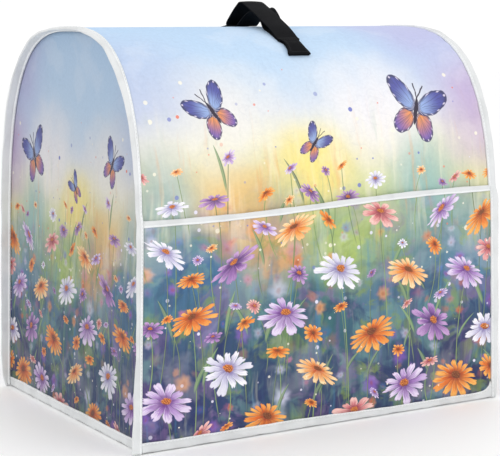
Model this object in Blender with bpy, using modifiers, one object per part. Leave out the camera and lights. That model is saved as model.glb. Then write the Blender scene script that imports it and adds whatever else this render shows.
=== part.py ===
"""Arched cloth cover for a stand mixer, with a front pocket, bound seams and a webbing handle.

X runs along the front, which faces -Y, and Z is up. The hem stands on Z = 0, and the origin is
the middle of the footprint. All sizes are in metres.
"""
from collections import namedtuple
from math import cos, hypot, pi, sin

import bmesh
import bpy

# Driving dimensions of the cover
WIDTH = 0.400            # between the two seams, at the ridge
SIDE_FLARE = 0.0097      # each end leans out by this much from ridge to hem
HEIGHT = 0.3935          # hem to ridge
DEPTH = 0.313            # front to back, just below the arch
FRONT_FLARE = 0.0040     # the front leans out by this much from ridge to hem
BACK_FLARE = 0.0006
ARCH_RISE = 0.220        # height of the rounded part
ARCH_POWER = 2.84        # 2 would be an ellipse, more is squarer

# Cloth and tape
CLOTH = 0.0025           # foam-backed panel cloth
POCKET_CLOTH = 0.0020
GAP = 0.0003             # between neighbouring pieces
HEM_HEIGHT = 0.0112
END_INSET = 0.0010       # the end panels sit this far inside the seam line
TAPE_OVER = 0.0006       # tape standing proud of the cloth it binds
TAPE_UNDER = 0.0034      # tape reaching inside the cloth's outer face
POCKET_TAPE_HEIGHT = 0.0062
POCKET_TAPE_THICK = 0.0032
TAPE_CHAMFER = 0.0008
HEM_CORNER = 0.0030      # rounding of the hem ring's corners

# Pocket edge: middle height of its tape at the left and right seams, and its slow wave
POCKET_LEFT = 0.2154
POCKET_RIGHT = 0.2257
POCKET_WAVE = 0.0018
POCKET_STAND = 0.0009    # the open edge stands off the front by this much at the seams
POCKET_BAG = 0.0010      # and by this much more in the middle

# Handle webbing
WEBBING_WIDTH = 0.025
WEBBING = 0.0012
CURL_FROM = 0.3          # share of the half width from which the right edge curls up

# How finely each piece is faceted
WALL_STEPS = 7           # hem to arch
ARCH_STEPS = 44
ACROSS_STEPS = 10
END_ROWS = 6
POCKET_ROWS = 6
SEAM_WALL_STEPS = 14
UPPER_STEPS = 58
UNDER_STEPS = 62
STRAP_ACROSS = 6
RING_SIDE_STEPS = 12
CORNER_STEPS = 3

FRONT_REACH = DEPTH / 2 + FRONT_FLARE + GAP + POCKET_CLOTH + TAPE_OVER
BACK_REACH = DEPTH / 2 + BACK_FLARE + TAPE_OVER
MIDDLE_Y = (FRONT_REACH - BACK_REACH) / 2   # puts the origin in the middle of the footprint

Swell = namedtuple("Swell", "across height_or_depth radius rise")
# Depth from the ridge line, lift of the inner face off the panel, sideways drift, share of the
# full width, and how far the right edge curls up
StrapPoint = namedtuple("StrapPoint", "depth lift aside broad curl")
TapeWidth = namedtuple("TapeWidth", "distance width")

# Soft unevenness of the front wall: where, how wide and how high
FRONT_SWELLS = (
    Swell(across=-0.095, height_or_depth=0.275, radius=0.085, rise=-0.0013),
    Swell(across=0.085, height_or_depth=0.255, radius=0.090, rise=0.0012),
    Swell(across=-0.030, height_or_depth=0.110, radius=0.100, rise=0.0014),
    Swell(across=0.130, height_or_depth=0.090, radius=0.075, rise=-0.0010),
)
# Unevenness of an end panel: depth is counted from the front
END_SWELLS = (
    Swell(across=-0.020, height_or_depth=0.215, radius=0.110, rise=-0.0016),
    Swell(across=0.045, height_or_depth=0.090, radius=0.080, rise=0.0010),
)

# How far each bound seam stands out sideways, by distance along the cloth from the front hem
LEFT_FLANGE = (
    TapeWidth(0.000, 0.0100), TapeWidth(0.018, 0.0094), TapeWidth(0.034, 0.0084),
    TapeWidth(0.052, 0.0083), TapeWidth(0.070, 0.0074), TapeWidth(0.090, 0.0061),
    TapeWidth(0.130, 0.0060), TapeWidth(0.180, 0.0062), TapeWidth(0.202, 0.0068),
    TapeWidth(0.230, 0.0060), TapeWidth(0.250, 0.0060), TapeWidth(0.275, 0.0068),
    TapeWidth(0.300, 0.0075), TapeWidth(0.330, 0.0073), TapeWidth(0.352, 0.0085),
    TapeWidth(0.375, 0.0091), TapeWidth(0.400, 0.0088), TapeWidth(0.440, 0.0094),
    TapeWidth(0.500, 0.0098), TapeWidth(0.600, 0.0105), TapeWidth(0.700, 0.0107),
    TapeWidth(0.850, 0.0105), TapeWidth(0.945, 0.0100), TapeWidth(0.968, 0.0080),
    TapeWidth(0.980, 0.0046),
)
RIGHT_FLANGE = (
    TapeWidth(0.000, 0.0056), TapeWidth(0.005, 0.0066), TapeWidth(0.020, 0.0078),
    TapeWidth(0.045, 0.0094),
    TapeWidth(0.090, 0.0100), TapeWidth(0.150, 0.0104), TapeWidth(0.200, 0.0107),
    TapeWidth(0.260, 0.0102), TapeWidth(0.320, 0.0098), TapeWidth(0.400, 0.0102),
    TapeWidth(0.600, 0.0104), TapeWidth(0.800, 0.0101), TapeWidth(0.960, 0.0100),
)

# The handle's two plies, from the front foot over the ridge to the back foot
UPPER_PLY = (
    StrapPoint(-0.1058, 0.0020, 0.0000, 1.00, 0.0), StrapPoint(-0.1035, 0.0021, 0.0000, 0.99, 0.0),
    StrapPoint(-0.0985, 0.0023, 0.0002, 0.84, 0.0), StrapPoint(-0.0925, 0.0026, 0.0002, 0.77, 0.0),
    StrapPoint(-0.0885, 0.0022, 0.0002, 0.79, 0.0), StrapPoint(-0.0852, 0.0023, 0.0000, 0.99, 0.0),
    StrapPoint(-0.0825, 0.0019, 0.0000, 1.00, 0.0), StrapPoint(-0.0790, 0.0024, 0.0000, 1.00, 0.0),
    StrapPoint(-0.0740, 0.0036, 0.0000, 1.00, 0.0), StrapPoint(-0.0630, 0.0064, 0.0000, 1.00, 0.0),
    StrapPoint(-0.0525, 0.0092, 0.0000, 1.00, 0.0), StrapPoint(-0.0437, 0.0124, 0.0000, 1.00, 0.0),
    StrapPoint(-0.0345, 0.0160, 0.0000, 1.00, 0.0), StrapPoint(-0.0240, 0.0203, 0.0000, 1.00, 0.0),
    StrapPoint(-0.0160, 0.0238, 0.0000, 1.00, 0.0), StrapPoint(-0.0095, 0.0247, 0.0000, 1.00, 0.0),
    StrapPoint(-0.0050, 0.0222, 0.0000, 1.00, 0.0), StrapPoint(0.0014, 0.0176, 0.0000, 1.00, 0.0),
    StrapPoint(0.0107, 0.0106, 0.0006, 1.00, 0.0), StrapPoint(0.0202, 0.0040, 0.0020, 1.00, 0.0),
    StrapPoint(0.0262, 0.0019, 0.0050, 1.00, 0.0), StrapPoint(0.0340, 0.0017, 0.0104, 1.00, 0.0),
    StrapPoint(0.0440, 0.0017, 0.0132, 1.00, 0.0), StrapPoint(0.0560, 0.0018, 0.0120, 1.00, 0.0),
    StrapPoint(0.0700, 0.0019, 0.0080, 1.00, 0.0), StrapPoint(0.0825, 0.0021, 0.0050, 0.99, 0.0),
    StrapPoint(0.0852, 0.0026, 0.0044, 0.98, 0.0), StrapPoint(0.0895, 0.0021, 0.0038, 0.82, 0.0),
    StrapPoint(0.0960, 0.0024, 0.0030, 0.84, 0.0), StrapPoint(0.1040, 0.0021, 0.0024, 1.00, 0.0),
)
UNDER_PLY = (
    StrapPoint(-0.1054, 0.0003, 0.0000, 0.98, 0.0), StrapPoint(-0.1031, 0.0003, 0.0000, 0.97, 0.0),
    StrapPoint(-0.0985, 0.0004, 0.0002, 0.82, 0.0), StrapPoint(-0.0925, 0.0006, 0.0002, 0.75, 0.0),
    StrapPoint(-0.0885, 0.0003, 0.0002, 0.77, 0.0), StrapPoint(-0.0852, 0.0005, 0.0000, 0.96, 0.0),
    StrapPoint(-0.0800, 0.0003, 0.0000, 0.98, 0.0), StrapPoint(-0.0700, 0.0004, 0.0010, 1.00, 0.0),
    StrapPoint(-0.0600, 0.0004, 0.0026, 1.00, 0.0), StrapPoint(-0.0520, 0.0006, 0.0040, 1.00, 0.0),
    StrapPoint(-0.0465, 0.0026, 0.0048, 1.00, 0.0000), StrapPoint(-0.0426, 0.0066, 0.0050, 1.00, 0.0008),
    StrapPoint(-0.0385, 0.0106, 0.0050, 1.00, 0.0016), StrapPoint(-0.0344, 0.0132, 0.0050, 1.00, 0.0028),
    StrapPoint(-0.0295, 0.0150, 0.0050, 1.00, 0.0042), StrapPoint(-0.0235, 0.0156, 0.0050, 1.00, 0.0036),
    StrapPoint(-0.0165, 0.0136, 0.0050, 1.00, 0.0020), StrapPoint(-0.0100, 0.0100, 0.0050, 1.00, 0.0008),
    StrapPoint(-0.0036, 0.0056, 0.0046, 1.00, 0.0), StrapPoint(0.0005, 0.0024, 0.0044, 1.00, 0.0),
    StrapPoint(0.0035, 0.0004, 0.0042, 1.00, 0.0), StrapPoint(0.0100, 0.0003, 0.0040, 1.00, 0.0),
    StrapPoint(0.0200, 0.0003, 0.0056, 0.98, 0.0), StrapPoint(0.0300, 0.0003, 0.0090, 0.96, 0.0),
    StrapPoint(0.0440, 0.0003, 0.0134, 0.96, 0.0), StrapPoint(0.0560, 0.0003, 0.0120, 0.96, 0.0),
    StrapPoint(0.0700, 0.0003, 0.0080, 0.97, 0.0), StrapPoint(0.0825, 0.0004, 0.0050, 0.97, 0.0),
    StrapPoint(0.0852, 0.0006, 0.0044, 0.95, 0.0), StrapPoint(0.0895, 0.0003, 0.0038, 0.80, 0.0),
    StrapPoint(0.0960, 0.0004, 0.0030, 0.82, 0.0), StrapPoint(0.1036, 0.0003, 0.0024, 0.98, 0.0),
)

Finish = namedtuple("Finish", "red green blue roughness")
PRINTED_CLOTH = Finish(0.42, 0.50, 0.66, 0.72)
WHITE_TAPE = Finish(0.86, 0.86, 0.87, 0.62)
BLACK_WEBBING = Finish(0.018, 0.018, 0.022, 0.58)


def clear_scene():
    for item in list(bpy.data.objects):
        bpy.data.objects.remove(item)


def collection(name):
    made = bpy.data.collections.new(name)
    bpy.context.scene.collection.children.link(made)
    return made


def material(name, finish):
    made = bpy.data.materials.new(name)
    made.use_nodes = True
    shader = made.node_tree.nodes["Principled BSDF"]
    shader.inputs["Base Color"].default_value = (finish.red, finish.green, finish.blue, 1.0)
    shader.inputs["Roughness"].default_value = finish.roughness
    shader.inputs["Metallic"].default_value = 0.0
    return made


# The cover's shape

def half_width(height):
    return WIDTH / 2 + SIDE_FLARE * (1 - height / HEIGHT)


def wall_depth(side, height):
    """Half depth at a height; side is -1 for the front and 1 for the back."""
    flare = FRONT_FLARE if side < 0 else BACK_FLARE
    return DEPTH / 2 + flare * (1 - height / HEIGHT)


def arch_point(angle):
    """A point of the arch; the angle runs from 0 at the front spring line to pi at the back."""
    run, rise = cos(angle), sin(angle)
    height = HEIGHT - ARCH_RISE + ARCH_RISE * max(rise, 0.0) ** (2 / ARCH_POWER)
    side = -1 if run > 0 else 1
    return side * wall_depth(side, height) * abs(run) ** (2 / ARCH_POWER), height


def panel_outline(start_height, wall_steps=WALL_STEPS):
    """Outer face of the long panel as (y, z) points, from the front hem over to the back hem."""
    spring = HEIGHT - ARCH_RISE
    heights = [start_height + (spring - start_height) * i / wall_steps for i in range(wall_steps)]
    front = [(-wall_depth(-1, height), height) for height in heights]
    back = [(wall_depth(1, height), height) for height in reversed(heights)]
    arch = [arch_point(pi * i / ARCH_STEPS) for i in range(ARCH_STEPS + 1)]
    return front + arch + back


def outward_normals(outline):
    normals = []
    last = len(outline) - 1
    for i in range(len(outline)):
        before, after = outline[max(i - 1, 0)], outline[min(i + 1, last)]
        run, rise = after[0] - before[0], after[1] - before[1]
        length = hypot(run, rise)
        normals.append((-rise / length, run / length))
    return normals


def swell_height(swells, across, other):
    """Sum of the smooth swells at a place on a panel."""
    total = 0.0
    for swell in swells:
        reach = hypot(across - swell.across, other - swell.height_or_depth) / swell.radius
        if reach < 1:
            total += swell.rise * (1 - reach * reach) ** 2
    return total


def panel_place(share, y, z, normal, lift=0.0):
    """A point on or off the long panel; share runs from -1 at the left seam to 1 at the right."""
    across = share * half_width(z)
    rise = lift
    if y < 0:
        rise += swell_height(FRONT_SWELLS, across, z) * (1 - share ** 4)
    return across, y + normal[0] * rise + MIDDLE_Y, z + normal[1] * rise


def ridge_height(depth):
    """Height of the panel's outer face at a distance before or behind the ridge line."""
    side = -1 if depth < 0 else 1
    reach = wall_depth(side, HEIGHT)
    return HEIGHT - ARCH_RISE + ARCH_RISE * (1 - (abs(depth) / reach) ** ARCH_POWER) ** (1 / ARCH_POWER)


# Making meshes

def finish_mesh(bm, name, look, group):
    bmesh.ops.recalc_face_normals(bm, faces=bm.faces)
    mesh = bpy.data.meshes.new(name)
    bm.to_mesh(mesh)
    bm.free()
    mesh.materials.append(look)
    mesh.shade_smooth()
    made = bpy.data.objects.new(name, mesh)
    group.objects.link(made)
    return made


def shaped_grid(columns, rows, place):
    """A grid whose vertex in column i and row j is moved to place(i, j)."""
    bm = bmesh.new()
    bmesh.ops.create_grid(bm, x_segments=columns, y_segments=rows, size=1.0)
    for vertex in bm.verts:
        column = round((vertex.co.x + 1) / 2 * columns)
        row = round((vertex.co.y + 1) / 2 * rows)
        vertex.co = place(column, row)
    return bm


def sheet(name, columns, rows, place, thickness, inward, look, group):
    """Cloth: one shaped grid, thickened to the inside or to the outside of its face."""
    made = finish_mesh(shaped_grid(columns, rows, place), name, look, group)
    solid = made.modifiers.new("thickness", "SOLIDIFY")
    solid.thickness = thickness
    solid.offset = -1.0 if inward else 1.0
    return made


def tube(name, sections, look, group, closed=False):
    """Tape: a grid rolled round a row of like sections, with its open ends filled."""
    around = len(sections[0])
    steps = len(sections)
    rows = steps if closed else steps - 1
    bm = shaped_grid(around, rows, lambda i, j: sections[j % steps][i % around])
    bmesh.ops.remove_doubles(bm, verts=bm.verts, dist=1e-6)
    bmesh.ops.holes_fill(bm, edges=bm.edges, sides=0)
    return finish_mesh(bm, name, look, group)


def chamfered(low, high, inner, outer, cut=TAPE_CHAMFER):
    """Section of a tape as eight (along, out) pairs: a rectangle with its corners cut."""
    return [
        (low + cut, inner), (high - cut, inner), (high, inner + cut), (high, outer - cut),
        (high - cut, outer), (low + cut, outer), (low, outer - cut), (low, inner + cut),
    ]


# Panels

def build_main_panel(look, group):
    outline = panel_outline(HEM_HEIGHT + GAP)
    normals = outward_normals(outline)

    def place(i, j):
        share = 2 * i / ACROSS_STEPS - 1
        return panel_place(share, *outline[j], normals[j])

    return sheet("main_panel", ACROSS_STEPS, len(outline) - 1, place, CLOTH, True, look, group)


def build_end_panel(name, side, look, group):
    clearance = CLOTH + GAP
    outline = panel_outline(HEM_HEIGHT + GAP)
    normals = outward_normals(outline)
    rim = [(y - n[0] * clearance, z - n[1] * clearance) for (y, z), n in zip(outline, normals)]
    top = rim[WALL_STEPS:WALL_STEPS + ARCH_STEPS + 1]
    foot = HEM_HEIGHT + GAP

    def place(i, j):
        top_y, top_z = top[i]
        z = foot + (top_z - foot) * j / END_ROWS
        spring = min(max((z - foot) / (top[0][1] - foot), 0.0), 1.0)
        flare = FRONT_FLARE if top_y < 0 else BACK_FLARE
        lean = flare * (HEIGHT - ARCH_RISE - foot) / HEIGHT * (1 - spring)
        y = top_y * (1 + lean / (DEPTH / 2))
        rise = swell_height(END_SWELLS, y, z) * (1 - (2 * i / ARCH_STEPS - 1) ** 4) * (1 - j / END_ROWS)
        return side * (half_width(z) - END_INSET + rise), y + MIDDLE_Y, z

    return sheet(name, ARCH_STEPS, END_ROWS, place, CLOTH, True, look, group)


# Pocket

def pocket_line(share):
    """Middle height of the pocket tape; share runs from -1 at the left seam to 1 at the right."""
    level = POCKET_LEFT + (POCKET_RIGHT - POCKET_LEFT) * (share + 1) / 2
    return level - POCKET_WAVE * sin(pi * (share + 1))


def pocket_stand(share, rise_share):
    """How far the pocket's inner face is off the front; rise_share is 0 at the hem, 1 at the edge."""
    fullness = max(rise_share, 0.0) ** 2
    return GAP + fullness * (POCKET_STAND + POCKET_BAG * (1 - share * share))


def front_place(share, z, lift):
    y = -wall_depth(-1, z) if z < HEIGHT - ARCH_RISE else -depth_at(z)
    return panel_place(share, y, z, front_normal(z), lift)


def depth_at(z):
    """Distance of the arch's outer face from the ridge line at a height, on the front."""
    rise = (z - (HEIGHT - ARCH_RISE)) / ARCH_RISE
    return wall_depth(-1, z) * (1 - rise ** ARCH_POWER) ** (1 / ARCH_POWER)


def front_normal(z):
    step = 0.001
    spring = HEIGHT - ARCH_RISE
    low = wall_depth(-1, z - step) if z - step < spring else depth_at(z - step)
    high = wall_depth(-1, z + step) if z + step < spring else depth_at(z + step)
    run = high - low
    length = hypot(run, 2 * step)
    return -2 * step / length, -run / length


def build_pocket_panel(look, group):
    foot = HEM_HEIGHT + GAP

    def place(i, j):
        share = 2 * i / ACROSS_STEPS - 1
        top = pocket_line(share) - POCKET_TAPE_HEIGHT / 2 - GAP
        z = foot + (top - foot) * j / POCKET_ROWS
        return front_place(share, z, pocket_stand(share, j / POCKET_ROWS))

    return sheet("pocket_panel", ACROSS_STEPS, POCKET_ROWS, place, POCKET_CLOTH, False, look, group)


def build_pocket_binding(look, group):
    half = POCKET_TAPE_HEIGHT / 2
    sections = []
    for i in range(ACROSS_STEPS + 1):
        share = 2 * i / ACROSS_STEPS - 1
        middle = pocket_line(share)
        cloth_middle = pocket_stand(share, 1.0) + POCKET_CLOTH / 2
        inner = cloth_middle - POCKET_TAPE_THICK / 2
        section = chamfered(-half, half, inner, inner + POCKET_TAPE_THICK)
        sections.append([front_place(share, middle + up, out) for up, out in section])
    return tube("pocket_binding", sections, look, group)


# Seam and hem tape

def pocket_cover(y, z):
    """Share, 0 to 1, by which a seam tape thickens at a height to take in the pocket's cloth."""
    if y > 0:
        return 0.0
    fade = 0.012
    return min(max((POCKET_LEFT + fade - z) / fade, 0.0), 1.0)


def flange_width(widths, distance):
    """Reads a table of tape widths, straight from one row to the next."""
    for low, high in zip(widths, widths[1:]):
        if distance <= high.distance:
            share = max(distance - low.distance, 0.0) / (high.distance - low.distance)
            return low.width + (high.width - low.width) * share
    return widths[-1].width


def build_seam_binding(name, side, widths, look, group):
    outline = panel_outline(0.0, SEAM_WALL_STEPS)
    normals = outward_normals(outline)
    sections = []
    distance = 0.0
    before = outline[0]
    for (y, z), normal in zip(outline, normals):
        distance += hypot(y - before[0], z - before[1])
        before = (y, z)
        outer = TAPE_OVER + (GAP + POCKET_CLOTH) * pocket_cover(y, z)
        seam = half_width(z) + GAP
        section = chamfered(0.0, flange_width(widths, distance), -TAPE_UNDER, outer)
        sections.append([
            (side * (seam + along), y + normal[0] * out + MIDDLE_Y, z + normal[1] * out)
            for along, out in section
        ])
    return tube(name, sections, look, group)


def ring_path(half_x, front, back, corner):
    """Corners-rounded rectangle as (x, y) points, the same count whatever its size."""
    points = []
    arcs = (
        (half_x - corner, -front + corner, -pi / 2), (half_x - corner, back - corner, 0.0),
        (-half_x + corner, back - corner, pi / 2), (-half_x + corner, -front + corner, pi),
    )
    for index, (x, y, start) in enumerate(arcs):
        for i in range(CORNER_STEPS + 1):
            angle = start + pi / 2 * i / CORNER_STEPS
            points.append((x + corner * cos(angle), y + corner * sin(angle)))
        next_x, next_y, next_start = arcs[(index + 1) % len(arcs)]
        end = (next_x + corner * cos(next_start), next_y + corner * sin(next_start))
        last = points[-1]
        for i in range(1, RING_SIDE_STEPS):
            share = i / RING_SIDE_STEPS
            points.append((last[0] + (end[0] - last[0]) * share, last[1] + (end[1] - last[1]) * share))
    return points


def build_hem_binding(look, group):
    def ring(height, inset):
        return ring_path(
            half_width(height) - inset,
            wall_depth(-1, height) + GAP + POCKET_CLOTH + TAPE_OVER - inset,
            wall_depth(1, height) + TAPE_OVER - inset,
            HEM_CORNER,
        )

    thick = TAPE_UNDER + TAPE_OVER
    front_extra = GAP + POCKET_CLOTH
    section = chamfered(0.0, HEM_HEIGHT, 0.0, thick)
    rings = [ring(height, depth) for height, depth in section]
    sections = []
    for i in range(len(rings[0])):
        points = []
        for path, (height, depth) in zip(rings, section):
            x, y = path[i]
            if y < 0:
                y += front_extra * depth / thick
            points.append((x, y + MIDDLE_Y, height))
        sections.append(points)
    return tube("hem_binding", sections, look, group, closed=True)


# Handle

def smooth_course(points, steps):
    """Even steps along a smooth curve through the strap's points."""
    course = []
    last = len(points) - 1
    for step in range(steps + 1):
        place = step / steps * last
        i = min(int(place), last - 1)
        t = place - i
        before, start = points[max(i - 1, 0)], points[i]
        end, after = points[i + 1], points[min(i + 2, last)]
        course.append(StrapPoint(*(
            0.5 * (2 * b + (c - a) * t + (2 * a - 5 * b + 4 * c - d) * t * t
                   + (3 * b - a - 3 * c + d) * t ** 3)
            for a, b, c, d in zip(before, start, end, after)
        )))
    return course


def build_strap(name, points, steps, look, group):
    course = smooth_course(points, steps)
    step = 0.0005

    def place(i, j):
        point = course[j]
        share = 2 * i / STRAP_ACROSS - 1
        slope = (ridge_height(point.depth + step) - ridge_height(point.depth - step)) / (2 * step)
        length = hypot(1.0, slope)
        curl = point.curl * (max(share - CURL_FROM, 0.0) / (1 - CURL_FROM)) ** 2
        rise = point.lift + curl
        return (point.aside + share * point.broad * WEBBING_WIDTH / 2,
                point.depth - slope / length * rise + MIDDLE_Y,
                ridge_height(point.depth) + rise / length)

    return sheet(name, STRAP_ACROSS, steps, place, WEBBING, False, look, group)


def face_up(strap):
    """A strap's grid has its normals up, so that Solidify thickens it away from the panel."""
    mesh = strap.data
    if sum(face.normal.z * face.area for face in mesh.polygons) < 0:
        mesh.flip_normals()


def face_outward(panel):
    """A panel's grid has its normals away from the middle of the cover."""
    mesh = panel.data
    total = sum(
        face.area * (face.normal.x * face.center.x + face.normal.y * face.center.y
                     + face.normal.z * (face.center.z - HEIGHT / 2))
        for face in mesh.polygons
    )
    if total < 0:
        mesh.flip_normals()


def main():
    clear_scene()
    cover = collection("stand_mixer_cover")
    printed = material("printed_cloth", PRINTED_CLOTH)
    tape = material("white_tape", WHITE_TAPE)
    webbing = material("black_webbing", BLACK_WEBBING)

    panels = [
        build_main_panel(printed, cover),
        build_end_panel("end_panel_left", -1, printed, cover),
        build_end_panel("end_panel_right", 1, printed, cover),
        build_pocket_panel(printed, cover),
    ]
    for panel in panels:
        face_outward(panel)
    build_pocket_binding(tape, cover)
    build_seam_binding("seam_binding_left", -1, LEFT_FLANGE, tape, cover)
    build_seam_binding("seam_binding_right", 1, RIGHT_FLANGE, tape, cover)
    build_hem_binding(tape, cover)
    face_up(build_strap("handle_strap", UPPER_PLY, UPPER_STEPS, webbing, cover))
    face_up(build_strap("handle_under_strap", UNDER_PLY, UNDER_STEPS, webbing, cover))


main()
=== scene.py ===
"""Cloth, tape and webbing of an arched stand mixer cover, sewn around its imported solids."""
import random
from collections import namedtuple
from math import cos, exp, hypot, pi, radians, sin

import bmesh
import bpy
import numpy as np
from bpy.props import FloatProperty, FloatVectorProperty, IntProperty, PointerProperty
from mathutils import Matrix, Vector


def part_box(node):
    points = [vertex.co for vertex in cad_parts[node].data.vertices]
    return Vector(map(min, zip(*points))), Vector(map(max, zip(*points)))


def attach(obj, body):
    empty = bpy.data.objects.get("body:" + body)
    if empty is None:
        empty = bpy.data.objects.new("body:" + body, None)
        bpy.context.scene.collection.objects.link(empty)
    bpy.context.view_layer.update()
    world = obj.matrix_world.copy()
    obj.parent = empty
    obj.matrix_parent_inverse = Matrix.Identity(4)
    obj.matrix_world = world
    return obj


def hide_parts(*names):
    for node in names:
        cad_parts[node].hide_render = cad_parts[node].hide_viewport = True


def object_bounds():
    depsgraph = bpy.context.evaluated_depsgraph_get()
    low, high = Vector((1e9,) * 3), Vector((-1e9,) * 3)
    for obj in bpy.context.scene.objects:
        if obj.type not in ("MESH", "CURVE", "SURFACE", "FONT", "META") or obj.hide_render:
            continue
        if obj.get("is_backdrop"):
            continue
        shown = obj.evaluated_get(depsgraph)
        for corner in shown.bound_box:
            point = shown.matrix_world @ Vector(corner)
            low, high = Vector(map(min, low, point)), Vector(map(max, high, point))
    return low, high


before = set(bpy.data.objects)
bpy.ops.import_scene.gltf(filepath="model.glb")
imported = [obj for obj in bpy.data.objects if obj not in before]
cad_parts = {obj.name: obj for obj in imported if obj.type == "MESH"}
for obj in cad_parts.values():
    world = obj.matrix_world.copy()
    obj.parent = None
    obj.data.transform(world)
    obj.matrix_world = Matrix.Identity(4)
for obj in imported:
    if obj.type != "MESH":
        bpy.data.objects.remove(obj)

bl_info = {
    "name": "Stand Mixer Cover",
    "version": (1, 0, 0),
    "blender": (4, 5, 0),
    "location": "3D View > Sidebar > Mixer Cover",
    "description": "Sews the cloth, tape and webbing of a stand mixer cover around its packed solids",
    "category": "Add Mesh",
}

SOLIDS_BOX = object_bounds()

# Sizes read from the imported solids, in metres
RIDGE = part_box("main_panel")[1].z


def metres(name, description, default):
    return FloatProperty(name=name, description=description, default=default, unit="LENGTH",
                         precision=4)


class CoverSizes(bpy.types.PropertyGroup):
    """Sizes of the cover that the cloth follows"""
    width: metres("Width", "Between the two seams, at the ridge", 0.400)
    side_flare: metres("Side flare", "Lean of each end, ridge to hem", 0.0097)
    depth: metres("Depth", "Front to back, just below the arch", 0.313)
    front_flare: metres("Front flare", "Lean of the front, ridge to hem", 0.0040)
    back_flare: metres("Back flare", "Lean of the back, ridge to hem", 0.0006)
    height: metres("Height", "Hem to ridge", RIDGE)
    arch_rise: metres("Arch rise", "Height of the rounded part", 0.220)
    arch_power: FloatProperty(name="Arch power", description="2 is an ellipse, more is squarer",
                              default=2.84)
    middle_y: metres("Middle", "Ridge line behind the footprint's middle", 0.00285)
    pocket_left: metres("Pocket, left", "Height of its tape at the left", 0.2154)
    pocket_right: metres("Pocket, right", "Height of its tape at the right", 0.2257)
    cloth: metres("Cloth", "Thickness of the foam-backed cloth", 0.0024)
    pocket_cloth: metres("Pocket cloth", "Thickness of the pocket's cloth", 0.0019)
    stitch: metres("Stitch", "Pitch of the sewing on the tapes", 0.0036)


class CoverColours(bpy.types.PropertyGroup):
    """Colours of the cover's plain materials"""
    tape: FloatVectorProperty(name="Tape", description="Binding tape", subtype="COLOR",
                              default=(0.715, 0.73, 0.735), min=0, max=1)
    webbing: FloatVectorProperty(name="Webbing", description="Handle webbing", subtype="COLOR",
                                 default=(0.0026, 0.0028, 0.0040), min=0, max=1)
    lining: FloatVectorProperty(name="Lining", description="Inside face of the cloth",
                                subtype="COLOR", default=(0.66, 0.66, 0.65), min=0, max=1)
    floor: FloatVectorProperty(name="Floor", description="Plain pale floor", subtype="COLOR",
                               default=(0.97, 0.97, 0.97), min=0, max=1)
    layout_seed: IntProperty(name="Layout seed", description="Scatter of the small blossoms",
                             default=11, min=0)


# Shape of the cover

Swell = namedtuple("Swell", "across other radius rise")
# Depth from the ridge line, lift of the inner face off the cloth, sideways drift, share of the
# full width, and how far the right edge curls up
StrapPoint = namedtuple("StrapPoint", "depth lift aside broad curl", defaults=(0.0,))

STRAP_WIDTH = 0.025
GAP = 0.0003
POCKET_WAVE = 0.0018
POCKET_STAND = 0.0009
POCKET_BAG = 0.0010
POCKET_TAPE_HEIGHT = 0.0062
POCKET_TAPE_THICK = 0.0032
TAPE_OVER = 0.0006
TAPE_UNDER = 0.0034
END_INSET = 0.0010
END_RIM_RISE = 0.0011    # how far an end's cloth comes out again beside its seam
RIM_ROOM = 0.0002        # between an end panel's rim and the long panel's inside
SEAM_DIP = 0.0007
HEM_TUCK = 0.0006        # how far the cloth runs down inside the hem tape
FLOOR_GAP = 0.0006       # how far the seam tapes' cut ends are off the floor
POCKET_FOLD = 0.0016     # widths of the stitched folds on the pocket's and the seams' tape
FOLD_WIDTH = 0.0026
FOLD_STAND = 0.00045     # how proud a fold is
# Strips of each tape's section that are its stitched folds
SEAM_FOLDS = (0, 1, 2, 3, 16, 17, 18, 19, 20)
POCKET_FOLDS = (9, 10, 13, 14)
HEM_FOLDS = (1, 2, 3, 4)
GATHER = 0.72            # how much closer the cloth's grid lines lie beside the seams
TIP_THICK = 0.0027       # a bound seam's free edge
POCKET_LAYER = 0.0020    # room for the pocket under the seam and hem tapes
TAPE_STITCH = (0.0027, 0.00062, 0.00050)     # length, width and height of a stitch
HANDLE_STITCH = (0.0022, 0.0006, 0.0005)
STITCH_LIFT = 0.00006

# Distance along the cloth from the front hem, and the width of a bound seam's flange there
LEFT_FLANGE = (
    (0.000, 0.0100), (0.018, 0.0094), (0.034, 0.0084), (0.052, 0.0083), (0.070, 0.0074), (0.090, 0.0061),
    (0.130, 0.0060), (0.180, 0.0062), (0.202, 0.0068), (0.230, 0.0060), (0.250, 0.0060), (0.275, 0.0068),
    (0.300, 0.0075), (0.330, 0.0073), (0.352, 0.0085), (0.375, 0.0091), (0.400, 0.0088), (0.440, 0.0094),
    (0.500, 0.0098), (0.600, 0.0105), (0.700, 0.0107), (0.850, 0.0105), (0.945, 0.0100), (0.968, 0.0080),
    (0.980, 0.0046),
)
RIGHT_FLANGE = (
    (0.000, 0.0056), (0.005, 0.0066), (0.020, 0.0078), (0.045, 0.0094), (0.090, 0.0100), (0.150, 0.0104),
    (0.200, 0.0107), (0.260, 0.0102), (0.320, 0.0098), (0.400, 0.0102), (0.600, 0.0104), (0.800, 0.0101),
    (0.960, 0.0100),
)
# Way round the hem, and the height of its tape there: 0 to 1 runs along the front from the left,
# then 1 to 2 up the right end, 2 to 3 along the back and 3 to 4 down the left end
HEM_HEIGHTS = (
    (0.00, 0.0107), (0.05, 0.0102), (0.20, 0.0103), (0.32, 0.0105), (0.42, 0.0105), (0.52, 0.0097),
    (0.62, 0.0087), (0.71, 0.0082), (0.80, 0.0085), (0.88, 0.0086), (0.95, 0.0083), (0.970, 0.0090),
    (0.982, 0.0104), (0.990, 0.0128), (0.996, 0.0166), (0.9999, 0.0220), (1.00, 0.0100), (1.20, 0.0104),
    (1.50, 0.0112), (1.80, 0.0105), (2.00, 0.0107), (2.30, 0.0098), (2.60, 0.0110), (3.00, 0.0104),
    (3.12, 0.0112), (3.30, 0.0104), (3.45, 0.0100), (3.60, 0.0108), (3.80, 0.0102), (4.00, 0.0107),
)

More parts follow.
